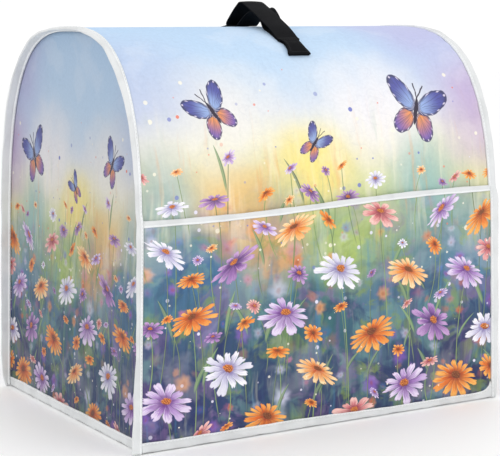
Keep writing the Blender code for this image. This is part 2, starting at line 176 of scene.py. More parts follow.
FRONT_SWELLS = (
    Swell(across=-0.095, other=0.275, radius=0.085, rise=-0.0013),
    Swell(across=0.085, other=0.255, radius=0.090, rise=0.0012),
    Swell(across=-0.030, other=0.110, radius=0.100, rise=0.0014),
    Swell(across=0.130, other=0.090, radius=0.075, rise=-0.0010),
)
END_SWELLS = (
    Swell(across=-0.020, other=0.215, radius=0.110, rise=-0.0016),
    Swell(across=0.045, other=0.090, radius=0.080, rise=0.0010),
)

UPPER_PLY = [StrapPoint(*row) for row in (
    (-0.1058, 0.0020, 0.0000, 1.00), (-0.1035, 0.0021, 0.0000, 0.99), (-0.0985, 0.0023, 0.0002, 0.84),
    (-0.0925, 0.0026, 0.0002, 0.77), (-0.0885, 0.0022, 0.0002, 0.79), (-0.0852, 0.0023, 0.0000, 0.99),
    (-0.0825, 0.0019, 0.0000, 1.00), (-0.0790, 0.0024, 0.0000, 1.00), (-0.0740, 0.0036, 0.0000, 1.00),
    (-0.0630, 0.0064, 0.0000, 1.00), (-0.0525, 0.0092, 0.0000, 1.00), (-0.0437, 0.0124, 0.0000, 1.00),
    (-0.0345, 0.0160, 0.0000, 1.00), (-0.0240, 0.0203, 0.0000, 1.00), (-0.0160, 0.0238, 0.0000, 1.00),
    (-0.0095, 0.0247, 0.0000, 1.00), (-0.0050, 0.0222, 0.0000, 1.00), (0.0014, 0.0176, 0.0000, 1.00),
    (0.0107, 0.0106, 0.0006, 1.00), (0.0202, 0.0040, 0.0020, 1.00), (0.0262, 0.0019, 0.0050, 1.00),
    (0.0340, 0.0017, 0.0104, 1.00), (0.0440, 0.0017, 0.0132, 1.00), (0.0560, 0.0018, 0.0120, 1.00),
    (0.0700, 0.0019, 0.0080, 1.00), (0.0825, 0.0021, 0.0050, 0.99), (0.0852, 0.0026, 0.0044, 0.98),
    (0.0895, 0.0021, 0.0038, 0.82), (0.0960, 0.0024, 0.0030, 0.84), (0.1040, 0.0021, 0.0024, 1.00),
)]
UNDER_PLY = [StrapPoint(*row) for row in (
    (-0.1054, 0.0003, 0.0000, 0.98), (-0.1031, 0.0003, 0.0000, 0.97), (-0.0985, 0.0004, 0.0002, 0.82),
    (-0.0925, 0.0006, 0.0002, 0.75), (-0.0885, 0.0003, 0.0002, 0.77), (-0.0852, 0.0005, 0.0000, 0.96),
    (-0.0800, 0.0003, 0.0000, 0.98), (-0.0700, 0.0004, 0.0010, 1.00), (-0.0600, 0.0004, 0.0026, 1.00),
    (-0.0520, 0.0006, 0.0040, 1.00), (-0.0465, 0.0026, 0.0048, 1.00),
    (-0.0426, 0.0066, 0.0050, 1.00, 0.0008), (-0.0385, 0.0106, 0.0050, 1.00, 0.0016),
    (-0.0344, 0.0132, 0.0050, 1.00, 0.0028), (-0.0295, 0.0150, 0.0050, 1.00, 0.0042),
    (-0.0235, 0.0156, 0.0050, 1.00, 0.0036), (-0.0165, 0.0136, 0.0050, 1.00, 0.0020),
    (-0.0100, 0.0100, 0.0050, 1.00, 0.0008), (-0.0036, 0.0056, 0.0046, 1.00),
    (0.0005, 0.0024, 0.0044, 1.00), (0.0035, 0.0004, 0.0042, 1.00), (0.0100, 0.0003, 0.0040, 1.00),
    (0.0200, 0.0003, 0.0056, 0.98), (0.0300, 0.0003, 0.0090, 0.96), (0.0440, 0.0003, 0.0134, 0.96),
    (0.0560, 0.0003, 0.0120, 0.96), (0.0700, 0.0003, 0.0080, 0.97), (0.0825, 0.0004, 0.0050, 0.97),
    (0.0852, 0.0006, 0.0044, 0.95), (0.0895, 0.0003, 0.0038, 0.80), (0.0960, 0.0004, 0.0030, 0.82),
    (0.1036, 0.0003, 0.0024, 0.98),
)]


def sizes():
    return bpy.context.scene.cover_sizes


def colours():
    return bpy.context.scene.cover_colours


def half_width(z):
    s = sizes()
    return s.width / 2 + s.side_flare * (1 - z / s.height)


def wall_depth(side, z):
    """Half depth at a height; side is -1 for the front and 1 for the back."""
    s = sizes()
    return s.depth / 2 + (s.front_flare if side < 0 else s.back_flare) * (1 - z / s.height)


def swell_height(swells, across, other):
    total = 0.0
    for swell in swells:
        reach = hypot(across - swell.across, other - swell.other) / swell.radius
        if reach < 1:
            total += swell.rise * (1 - reach * reach) ** 2
    return total


class Outline:
    """The long panel's outer face in side view, read by distance along the cloth from the front hem."""

    SAMPLES = 2400

    def __init__(self):
        s = sizes()
        spring = s.height - s.arch_rise
        wall = np.linspace(0.0, spring, self.SAMPLES // 3, endpoint=False)
        front_y = [-wall_depth(-1, z) for z in wall]
        back_y = [wall_depth(1, z) for z in wall[::-1]]
        angles = np.linspace(0.0, pi, self.SAMPLES)
        arch_z = spring + s.arch_rise * np.abs(np.sin(angles)) ** (2 / s.arch_power)
        run = np.abs(np.cos(angles)) ** (2 / s.arch_power)
        arch_y = [
            (-1 if angle < pi / 2 else 1) * wall_depth(-1 if angle < pi / 2 else 1, z) * share
            for angle, z, share in zip(angles, arch_z, run)
        ]
        self.y = np.concatenate([front_y, arch_y, back_y])
        self.z = np.concatenate([wall, arch_z, wall[::-1]])
        step = np.hypot(np.diff(self.y), np.diff(self.z))
        self.distance = np.concatenate([[0.0], np.cumsum(step)])
        self.length = float(self.distance[-1])
        self.ridge = float(np.interp(0.0, self.y, self.distance))

    def at(self, distance):
        """(y, z, outward y, outward z) at a distance from the front hem."""
        y = float(np.interp(distance, self.distance, self.y))
        z = float(np.interp(distance, self.distance, self.z))
        near = 0.0015
        before, after = distance - near, distance + near
        run = float(np.interp(after, self.distance, self.y) - np.interp(before, self.distance, self.y))
        rise = float(np.interp(after, self.distance, self.z) - np.interp(before, self.distance, self.z))
        length = hypot(run, rise)
        return y, z, -rise / length, run / length

    def front_distance(self, z):
        """Distance along the cloth to a height on the front."""
        front = self.distance < self.ridge
        return float(np.interp(z, self.z[front], self.distance[front]))

    def depth_distance(self, depth):
        """Distance along the cloth to a place before (-) or behind (+) the ridge line."""
        return float(np.interp(depth, self.y, self.distance))


def flange_width(side, distance):
    """Width of the tape that stands off a seam, at a distance from the front hem."""
    table = LEFT_FLANGE if side < 0 else RIGHT_FLANGE
    wave = 1 + 0.016 * sin(distance * 61.0 + side) + 0.010 * sin(distance * 143.0 + 2.0 * side)
    return wave * float(np.interp(distance, *zip(*table)))


def hem_height(travel):
    """Top edge of the hem tape; travel runs from 0 to 4 round the cover."""
    level = float(np.interp(travel % 4, *zip(*HEM_HEIGHTS)))
    return level + 0.00012 * sin(travel * 53.0) + 0.00008 * sin(travel * 127.0)


def seam_pucker(edge, distance):
    """Small ripples of the cloth beside a seam; edge is the distance from it."""
    fade = 0.011
    if edge > 5 * fade:
        return 0.0
    wave = sin(distance * 410.0) + 0.8 * sin(distance * 263.0 + 1.3) + 0.6 * sin(distance * 137.0 + 4.0)
    return 0.00020 * wave * exp(-edge / fade)


def panel_place(outline, share, distance, lift=0.0):
    """A point on or off the long panel; share runs from -1 at the left seam to 1 at the right."""
    y, z, out_y, out_z = outline.at(distance)
    across = share * half_width(z)
    edge = (1 - abs(share)) * half_width(z)
    rise = lift + seam_pucker(edge, distance + 0.3 * share) - SEAM_DIP * exp(-edge / 0.006)
    if y < 0:
        rise += swell_height(FRONT_SWELLS, across, z) * (1 - share ** 4)
    return Vector((across, y + out_y * rise + sizes().middle_y, z + out_z * rise))


def spread(share, gather):
    """A share from -1 to 1, moved so that grid lines lie closer together near both ends."""
    return share * (1 - gather) + gather * sin(share * pi / 2)


# Making meshes

def finish_mesh(bm, name, materials):
    """The object that a mesh in the making ends as, linked to the scene."""
    mesh = bpy.data.meshes.new(name)
    bm.to_mesh(mesh)
    bm.free()
    mesh.shade_smooth()
    for material in materials:
        mesh.materials.append(material)
    made = bpy.data.objects.new(name, mesh)
    bpy.context.scene.collection.objects.link(made)
    return made


def shaped_grid(columns, rows, place, print_place=None):
    """A grid whose vertex in column i and row j is moved to place(i, j)."""
    bm = bmesh.new()
    bmesh.ops.create_grid(bm, x_segments=columns, y_segments=rows, size=1.0)
    cells = {}
    for vertex in bm.verts:
        i = round((vertex.co.x + 1) / 2 * columns)
        j = round((vertex.co.y + 1) / 2 * rows)
        cells[vertex] = (i, j)
        vertex.co = place(i, j)
    if print_place:
        layer = bm.loops.layers.uv.new("print_place")
        spots = {vertex: print_place(*cell) for vertex, cell in cells.items()}
        for face in bm.faces:
            for loop in face.loops:
                loop[layer].uv = spots[loop.vert]
    return bm


def face_away(bm, middle):
    """Turns an open sheet's faces away from a point."""
    bm.normal_update()
    total = sum(f.normal.dot(f.calc_center_median() - middle) * f.calc_area() for f in bm.faces)
    if total < 0:
        bmesh.ops.reverse_faces(bm, faces=bm.faces)


def cloth_sheet(name, columns, rows, place, print_place, thickness, outer, inner):
    """Cloth with a printed outer face and a plain inner face."""
    bm = shaped_grid(columns, rows, place, print_place)
    face_away(bm, Vector((0, 0, sizes().height * 0.45)))
    made = finish_mesh(bm, name, (outer, inner))
    solid = made.modifiers.new("cloth", "SOLIDIFY")
    solid.thickness = thickness
    solid.offset = -1.0
    solid.material_offset = 1
    solid.material_offset_rim = 1
    return made


def rolled_strip(name, sections, materials, fold_columns=(), closed=False):
    """Tape: a grid rolled round a row of like sections, with its open ends filled."""
    around = len(sections[0])
    steps = len(sections)
    rows = steps if closed else steps - 1
    bm = shaped_grid(around, rows, lambda i, j: (i, j, 0))
    # Faces in the fold columns take the second material: on the tapes, the lighter copy with the painted
    # highlight
    for face in bm.faces:
        if int(face.calc_center_median().x) in fold_columns:
            face.material_index = 1
    for vertex in bm.verts:
        vertex.co = sections[round(vertex.co.y) % steps][round(vertex.co.x) % around]
    bmesh.ops.remove_doubles(bm, verts=bm.verts, dist=1e-6)
    bmesh.ops.holes_fill(bm, edges=bm.edges, sides=0)
    bmesh.ops.recalc_face_normals(bm, faces=bm.faces)
    return finish_mesh(bm, name, materials)


# Node trees

def linear(red, green, blue):
    """Scene colour of an everyday 0 to 255 colour."""
    shares = [value / 255 for value in (red, green, blue)]
    return tuple(v / 12.92 if v <= 0.04045 else ((v + 0.055) / 1.055) ** 2.4 for v in shares) + (1.0,)


class Graph:
    """Short ways to add nodes to a tree. Each returns the socket that carries the result."""

    def __init__(self, tree):
        self.tree = tree

    def node(self, kind, inputs=(), **settings):
        made = self.tree.nodes.new(kind)
        for key, value in settings.items():
            setattr(made, key, value)
        for key, value in dict(inputs).items():
            self.feed(made.inputs[key], value)
        return made

    def feed(self, socket, value):
        if isinstance(value, bpy.types.NodeSocket):
            self.tree.links.new(value, socket)
        elif value is not None:
            socket.default_value = value

    def math(self, operation, a, b=None, c=None):
        made = self.node("ShaderNodeMath", operation=operation)
        for socket, value in zip(made.inputs, (a, b, c)):
            self.feed(socket, value)
        return made.outputs[0]

    def add(self, a, b):
        return self.math("ADD", a, b)

    def less(self, a, b):
        return self.math("SUBTRACT", a, b)

    def times(self, a, b):
        return self.math("MULTIPLY", a, b)

    def over(self, a, b):
        return self.math("DIVIDE", a, b)

    def vector(self, operation, a, b=None, scale=None):
        made = self.node("ShaderNodeVectorMath", operation=operation)
        self.feed(made.inputs[0], a)
        self.feed(made.inputs[1], b)
        if scale is not None:
            self.feed(made.inputs["Scale"], scale)
        return made.outputs["Value"] if operation in ("LENGTH", "DISTANCE") else made.outputs[0]

    def parts(self, vector):
        made = self.node("ShaderNodeSeparateXYZ", {"Vector": vector})
        return made.outputs[0], made.outputs[1], made.outputs[2]

    def whole(self, x=0.0, y=0.0, z=0.0):
        return self.node("ShaderNodeCombineXYZ", {"X": x, "Y": y, "Z": z}).outputs[0]

    def ramp_value(self, value, low, high, start=0.0, end=1.0, kind="LINEAR"):
        """From start to end while value goes from low to high."""
        return self.node("ShaderNodeMapRange", {
            "Value": value, "From Min": low, "From Max": high, "To Min": start, "To Max": end,
        }, interpolation_type=kind).outputs["Result"]

    def ease(self, value, low, high, start=0.0, end=1.0):
        """The same as a smooth step."""
        return self.ramp_value(value, low, high, start, end, "SMOOTHSTEP")

    def mix(self, share, under, over):
        made = self.node("ShaderNodeMix", data_type="RGBA")
        self.feed(made.inputs[0], share)
        self.feed(made.inputs[6], under)
        self.feed(made.inputs[7], over)
        return made.outputs[2]

    def ramp(self, value, stops, interpolation="LINEAR"):
        made = self.node("ShaderNodeValToRGB", {"Fac": value})
        ramp = made.color_ramp
        ramp.interpolation = interpolation
        while len(ramp.elements) < len(stops):
            ramp.elements.new(0.5)
        for element, (place, colour) in zip(ramp.elements, stops):
            element.position = place
            element.color = colour
        return made.outputs["Color"]

    def noise(self, vector, scale, detail=2.0, roughness=0.5):
        return self.node("ShaderNodeTexNoise", {
            "Vector": vector, "Scale": scale, "Detail": detail, "Roughness": roughness,
        }).outputs

    def chance(self, vector):
        """A random value for each different vector."""
        return self.node("ShaderNodeTexWhiteNoise", {"Vector": vector}).outputs

    def channels(self, colour):
        made = self.node("ShaderNodeSeparateColor", {"Color": colour})
        return made.outputs[0], made.outputs[1], made.outputs[2]

    def drift(self, vector, scale, detail, reach):
        """A sideways and upward shift that wanders over the surface."""
        red, green, _ = self.channels(self.noise(vector, scale, detail)["Color"])
        return self.whole(self.ramp_value(red, 0.0, 1.0, -reach / 2, reach / 2),
                          self.ramp_value(green, 0.0, 1.0, -reach / 2, reach / 2))


def node_group(name, inputs, outputs):
    """An empty group with its named sockets, its graph, and its input and output nodes."""
    tree = bpy.data.node_groups.new(name, "ShaderNodeTree")
    for socket_name, kind in inputs:
        tree.interface.new_socket(socket_name, in_out="INPUT", socket_type=kind)
    for socket_name, kind in outputs:
        tree.interface.new_socket(socket_name, in_out="OUTPUT", socket_type=kind)
    graph = Graph(tree)
    return graph, graph.node("NodeGroupInput").outputs, graph.node("NodeGroupOutput").inputs


def place_group(graph, tree, inputs):
    made = graph.node("ShaderNodeGroup", node_tree=tree)
    for key, value in inputs.items():
        graph.feed(made.inputs[key], value)
    return made.outputs


FLOAT, COLOUR, VECTOR = "NodeSocketFloat", "NodeSocketColor", "NodeSocketVector"

PRINT_THREADS = 2200.0   # threads in a metre
LINING_THREADS = 1100.0
TAPE_RIBS = 5200.0       # turns of the tapes' and stitches' weave in a metre, in radians
THREAD_RIBS = 9000.0
WEBBING_RIB = 0.0016     # pitch of the webbing's ribs, and of the picks across them
WEBBING_PICK = 0.0009


# The print: a wash with strokes, blossoms and butterflies listed on each face of the cloth

Blossom = namedtuple("Blossom", "across up size family petals turn tilt")
Stroke = namedtuple("Stroke", "foot_across foot_up top_across top_up bend width")
Butterfly = namedtuple("Butterfly", "across up size turn squeeze")
Family = namedtuple("Family", "heart middle tip")

STROKE_SLOTS = 6
BLOSSOM_SLOTS = 4
PETAL_SCALE = 20.0           # a blossom's family and its petals share one value
LEAF_WIDTH = 0.0016          # a stroke at least this wide is a leaf
NOWHERE = (9.0, 9.0, 0.001)  # an unused slot holds a tiny motif far off the cloth

ORANGE, PEACH, LILAC, VIOLET, WHITE, ROSE = range(6)
FAMILIES = (
    Family(heart=linear(150, 40, 8), middle=linear(236, 112, 18), tip=linear(252, 186, 92)),
    Family(heart=linear(196, 70, 16), middle=linear(246, 152, 48), tip=linear(254, 226, 176)),
    Family(heart=linear(100, 36, 126), middle=linear(172, 126, 200), tip=linear(238, 224, 246)),
    Family(heart=linear(66, 30, 96), middle=linear(134, 84, 160), tip=linear(206, 166, 214)),
    Family(heart=linear(126, 110, 170), middle=linear(212, 208, 232), tip=linear(252, 250, 254)),
    Family(heart=linear(140, 36, 60), middle=linear(216, 112, 120), tip=linear(250, 206, 196)),
)

# Large blossoms, placed one by one on the print; the small ones are scattered between them
LARGE_BLOSSOMS = tuple(Blossom(*row) for row in (
    (-0.176, 0.046, 0.033, LILAC, 11, 0.3, 0.66), (-0.150, 0.124, 0.028, ORANGE, 14, -0.3, 0.50),
    (-0.178, 0.188, 0.027, WHITE, 12, 0.5, 0.44), (-0.112, 0.070, 0.031, WHITE, 13, 0.2, 0.78),
    (-0.106, 0.172, 0.030, VIOLET, 10, -0.6, 0.42), (-0.070, 0.018, 0.030, ORANGE, 15, 0.4, 0.60),
    (-0.050, 0.118, 0.034, LILAC, 12, 0.1, 0.58), (-0.040, 0.202, 0.028, PEACH, 14, -0.5, 0.48),
    (-0.014, 0.058, 0.028, PEACH, 14, 0.5, 0.46), (0.012, 0.156, 0.033, WHITE, 13, 0.3, 0.64),
    (0.030, 0.010, 0.028, ROSE, 9, 0.0, 0.62), (0.050, 0.088, 0.033, ORANGE, 16, -0.3, 0.56),
    (0.060, 0.210, 0.025, ROSE, 8, 0.3, 0.50), (0.090, 0.030, 0.030, LILAC, 12, -0.2, 0.76),
    (0.094, 0.148, 0.031, PEACH, 15, 0.4, 0.52), (0.126, 0.092, 0.029, VIOLET, 11, 0.6, 0.70),
    (0.136, 0.208, 0.028, LILAC, 12, -0.7, 0.44), (0.154, 0.030, 0.034, ORANGE, 15, 0.2, 0.72),
    (0.168, 0.142, 0.029, LILAC, 13, 0.5, 0.54), (0.192, 0.078, 0.028, WHITE, 12, 0.0, 0.74),
    (0.188, 0.200, 0.030, ORANGE, 14, -0.6, 0.48),
))
COMMON = (ORANGE, ORANGE, PEACH, PEACH, LILAC, LILAC, WHITE, VIOLET, ROSE)

BUTTERFLIES = (
    Butterfly(-0.118, 0.318, 0.036, -0.55, 0.72),
    Butterfly(-0.010, 0.282, 0.026, 0.70, 0.60),
    Butterfly(0.118, 0.312, 0.044, 0.35, 0.85),
)

SKY_STOPS = (
    (0.00, linear(36, 34, 80)), (0.08, linear(36, 48, 94)), (0.20, linear(48, 84, 114)),
    (0.32, linear(90, 134, 142)), (0.42, linear(156, 174, 140)), (0.50, linear(222, 216, 166)),
    (0.58, linear(236, 232, 206)), (0.66, linear(218, 224, 232)), (0.76, linear(188, 212, 236)),
    (1.00, linear(170, 202, 234)),
)
SKY_TOP = 0.50
# Soft round glows of the ground: place across and up, reach, colour and strength
GLOWS = (
    (-0.100, 0.325, 0.075, (238, 234, 228), 0.65),
    (0.075, 0.315, 0.085, (242, 238, 240), 0.75),
    (0.180, 0.440, 0.140, (186, 180, 220), 0.75),
    (0.205, 0.315, 0.085, (184, 156, 202), 0.75),
    (-0.205, 0.350, 0.120, (180, 190, 220), 0.65),
    (-0.110, 0.224, 0.065, (240, 186, 108), 0.80),
    (-0.180, 0.235, 0.070, (138, 172, 182), 0.70),
    (-0.015, 0.250, 0.070, (248, 228, 132), 0.85),
    (0.055, 0.228, 0.055, (190, 206, 120), 0.70),
    (0.120, 0.244, 0.075, (132, 184, 188), 0.75), (-0.155, 0.165, 0.065, (52, 98, 148), 0.80),
    (-0.065, 0.178, 0.060, (226, 168, 104), 0.80),
    (0.020, 0.176, 0.070, (176, 196, 96), 0.85), (0.165, 0.165, 0.085, (92, 128, 160), 0.70),
    (-0.190, 0.060, 0.065, (86, 60, 118), 0.65), (-0.115, 0.040, 0.075, (38, 58, 104), 0.75),
    (-0.020, 0.096, 0.080, (52, 108, 104), 0.80), (0.075, 0.115, 0.070, (82, 118, 146), 0.70),
    (0.050, 0.020, 0.060, (30, 58, 70), 0.70), (0.150, 0.040, 0.085, (42, 42, 84), 0.75),
)
STEM_COLOURS = (linear(30, 60, 52), linear(112, 144, 74))
LEAF_COLOURS = (linear(26, 66, 74), linear(92, 136, 92))


def wash_group():
    """Painted ground of the print, from a dark meadow up to a pale sky."""
    g, given, wanted = node_group("painted_wash", [("Place", VECTOR)], [("Color", COLOUR)])
    place = given["Place"]
    broad = g.drift(place, 9.0, 3.0, 0.075)
    fine = g.drift(place, 58.0, 2.0, 0.010)
    moved = g.vector("ADD", g.vector("ADD", place, broad), fine)
    up = g.parts(moved)[1]
    colour = g.ramp(g.over(up, SKY_TOP), SKY_STOPS)
    for middle_across, middle_up, reach, paint, strength in GLOWS:
        away = g.vector("DISTANCE", moved, (middle_across, middle_up, 0.0))
        colour = g.mix(g.ease(away, reach * 0.10, reach, strength, 0.0), colour, linear(*paint))

    low = g.ease(up, 0.17, 0.25, 1.0, 0.0)
    deep = g.times(low, g.ease(up, 0.07, 0.20, 1.0, 0.15))
    middle = g.times(g.ease(up, 0.15, 0.21), g.ease(up, 0.25, 0.36, 1.0, 0.0))
    # Broad soft pools, and upright blades: what they are laid by, their detail and soft edge
    upright = g.vector("ADD", place, g.vector("SCALE", broad, scale=0.25))
    stretched = g.vector("MULTIPLY", upright, (1.0, 0.11, 1.0))

    pools, blades = (moved, 4.0, 0.09), (stretched, 3.0, 0.20)
    for (ground, detail, soft), offset, scale, edge, mask, strength, paint in (
        (pools, (5.0, 3.0, 0.0), 17.0, 0.50, low, 0.50, (112, 158, 152)),
        (pools, (8.0, 1.0, 0.0), 24.0, 0.52, deep, 0.66, (24, 46, 94)),
        (pools, (2.0, 9.0, 0.0), 21.0, 0.53, low, 0.50, (136, 106, 156)),
        (pools, (6.0, 6.0, 0.0), 30.0, 0.54, low, 0.55, (128, 152, 60)),
        (blades, (0.0, 0.0, 0.0), 52.0, 0.47, deep, 0.66, (22, 34, 90)),
        (blades, (3.1, 1.7, 0.0), 78.0, 0.53, low, 0.50, (70, 134, 174)),
        (blades, (6.4, 0.9, 0.0), 110.0, 0.55, deep, 0.60, (20, 74, 76)),
        (blades, (2.2, 5.1, 0.0), 60.0, 0.55, low, 0.38, (108, 74, 140)),
        (blades, (7.7, 3.3, 0.0), 120.0, 0.60, low, 0.32, (196, 200, 182)),
        (blades, (1.9, 8.2, 0.0), 66.0, 0.50, middle, 0.36, (254, 246, 220)),
        (blades, (4.6, 2.8, 0.0), 96.0, 0.55, middle, 0.40, (232, 164, 88)),
        (blades, (9.3, 6.1, 0.0), 84.0, 0.55, middle, 0.34, (146, 178, 146)),
    ):
        found = g.noise(g.vector("ADD", ground, offset), scale, detail, 0.60)["Fac"]
        colour = g.mix(g.times(g.ease(found, edge, edge + soft), g.times(mask, strength)),
                       colour, linear(*paint))

    def far_blossoms(offset, scale, strength_low, strength_high):
        """Soft blossoms out of focus, one in each cell of a scatter."""
        spot = g.vector("ADD", g.vector("ADD", place, fine), offset)
        cells = g.node("ShaderNodeTexVoronoi", {
            "Vector": spot, "Scale": scale, "Randomness": 1.0,
        }, voronoi_dimensions="2D").outputs
        pick, size, strength = g.channels(cells["Color"])
        paint = g.ramp(pick, (
            (0.00, linear(236, 120, 44)), (0.24, linear(146, 96, 200)), (0.42, linear(214, 214, 240)),
            (0.60, linear(246, 168, 92)), (0.76, linear(76, 116, 200)), (0.88, linear(214, 120, 164)),
        ), "CONSTANT")
        x, y, _ = g.parts(g.vector("SUBTRACT", spot, cells["Position"]))
        petals = g.math("SINE", g.add(g.times(g.math("ARCTAN2", y, x), 7.0), g.times(pick, 40.0)))
        reach = g.times(g.ramp_value(size, 0.0, 1.0, 0.20, 0.40), g.ramp_value(petals, -1.0, 1.0, 0.84, 1.0))
        soft = g.ease(cells["Distance"], g.times(reach, 0.20), reach, 1.0, 0.0)
        bed = g.ease(up, 0.20, 0.25, 1.0, 0.0)
        shown = g.times(g.times(soft, bed), g.ramp_value(strength, 0.35, 1.0, strength_low, strength_high))
        result = g.mix(shown, colour, paint)
        heart = g.ease(cells["Distance"], 0.02, 0.10, 0.7, 0.0)
        return g.mix(g.times(shown, heart), result, linear(150, 70, 30))

    colour = far_blossoms((4.0, 2.0, 0.0), 44.0, 0.0, 0.60)
    colour = far_blossoms((1.0, 6.0, 0.0), 27.0, 0.0, 0.72)

    pool = g.noise(g.vector("ADD", moved, (1.0, 7.0, 0.0)), 15.0, 4.0, 0.55)["Fac"]
    colour = g.mix(g.times(g.ease(pool, 0.50, 0.60), 0.10), colour, linear(255, 252, 250))
    rim = g.times(g.ease(pool, 0.484, 0.497), g.ease(pool, 0.503, 0.498))
    colour = g.mix(g.times(rim, 0.05), colour, linear(90, 110, 160))
    g.feed(wanted["Color"], colour)
    return g.tree


def splatter_group():
    """Small thrown drops of paint, pale over the dark ground."""
    g, given, wanted = node_group(
        "paint_drops",
        [("Under", COLOUR), ("Place", VECTOR), ("Scale", FLOAT), ("Share", FLOAT), ("Drop", COLOUR)],
        [("Color", COLOUR)],
    )
    cells = g.node("ShaderNodeTexVoronoi", {
        "Vector": given["Place"], "Scale": given["Scale"], "Randomness": 1.0,
    }, voronoi_dimensions="2D").outputs
    pick, size, strength = g.channels(cells["Color"])
    reach = g.ramp_value(size, 0.0, 1.0, 0.03, 0.15)
    drop = g.ease(cells["Distance"], g.times(reach, 0.75), reach, 1.0, 0.0)
    chosen = g.math("LESS_THAN", pick, given["Share"])
    alpha = g.times(g.times(drop, chosen), g.ramp_value(strength, 0.0, 1.0, 0.35, 0.95))
    g.feed(wanted["Color"], g.mix(alpha, given["Under"], given["Drop"]))
    return g.tree


def stroke_group():
    """One stem or leaf: a tapering bow between a foot and a top."""
    g, given, wanted = node_group(
        "painted_stroke",
        [("Under", COLOUR), ("Place", VECTOR), ("Ends", VECTOR), ("Form", VECTOR)],
        [("Color", COLOUR)],
    )
    across, up, _ = g.parts(given["Place"])
    foot, foot_up, top = g.parts(given["Ends"])
    top_up, bend, width = g.parts(given["Form"])
    along = g.over(g.less(up, foot_up), g.less(top_up, foot_up))
    held = g.math("MINIMUM", g.math("MAXIMUM", along, 0.0), 1.0)
    bow = g.times(g.times(held, g.less(1.0, held)), g.times(bend, 4.0))
    course = g.add(g.add(foot, g.times(g.less(top, foot), held)), bow)
    leaf = g.math("GREATER_THAN", width, LEAF_WIDTH)
    blade = g.math("POWER", g.math("SINE", g.times(held, pi)), 0.75)
    taper = g.ramp_value(held, 0.0, 1.0, 1.0, 0.55)
    shape = g.node("ShaderNodeMix", {0: leaf, 2: taper, 3: blade}).outputs[0]
    half = g.times(width, g.times(shape, 0.5))
    side = g.less(across, course)
    reach = g.math("ABSOLUTE", side)
    body = g.ease(reach, g.times(half, 0.70), g.add(half, 0.00025), 1.0, 0.0)
    ends = g.times(g.ease(along, 0.0, 0.22), g.math("LESS_THAN", along, 1.0))
    tone = g.chance(given["Ends"])["Value"]
    stem = g.mix(tone, STEM_COLOURS[0], STEM_COLOURS[1])
    blade_colour = g.mix(tone, LEAF_COLOURS[0], LEAF_COLOURS[1])
    colour = g.mix(leaf, stem, blade_colour)
    lit = g.ease(g.over(side, half), -0.2, 0.9, 0.30, 0.0)
    colour = g.mix(lit, colour, linear(206, 220, 160))
    vein = g.ease(reach, 0.0, 0.00035, 0.30, 0.0)
    colour = g.mix(g.times(vein, leaf), colour, linear(200, 214, 170))
    alpha = g.times(g.times(body, ends), 0.88)
    g.feed(wanted["Color"], g.mix(alpha, given["Under"], colour))
    return g.tree


def motif_frame(g, given, across, up, size, turn):
    """A place on the print as a motif sees it: from its middle, in its own size and turn."""
    local = g.vector("SCALE", g.vector("SUBTRACT", given["Place"], g.whole(across, up)),
                     scale=g.over(1.0, size))
    return g.node("ShaderNodeVectorRotate", {"Vector": local, "Angle": turn},
                  rotation_type="Z_AXIS").outputs[0]


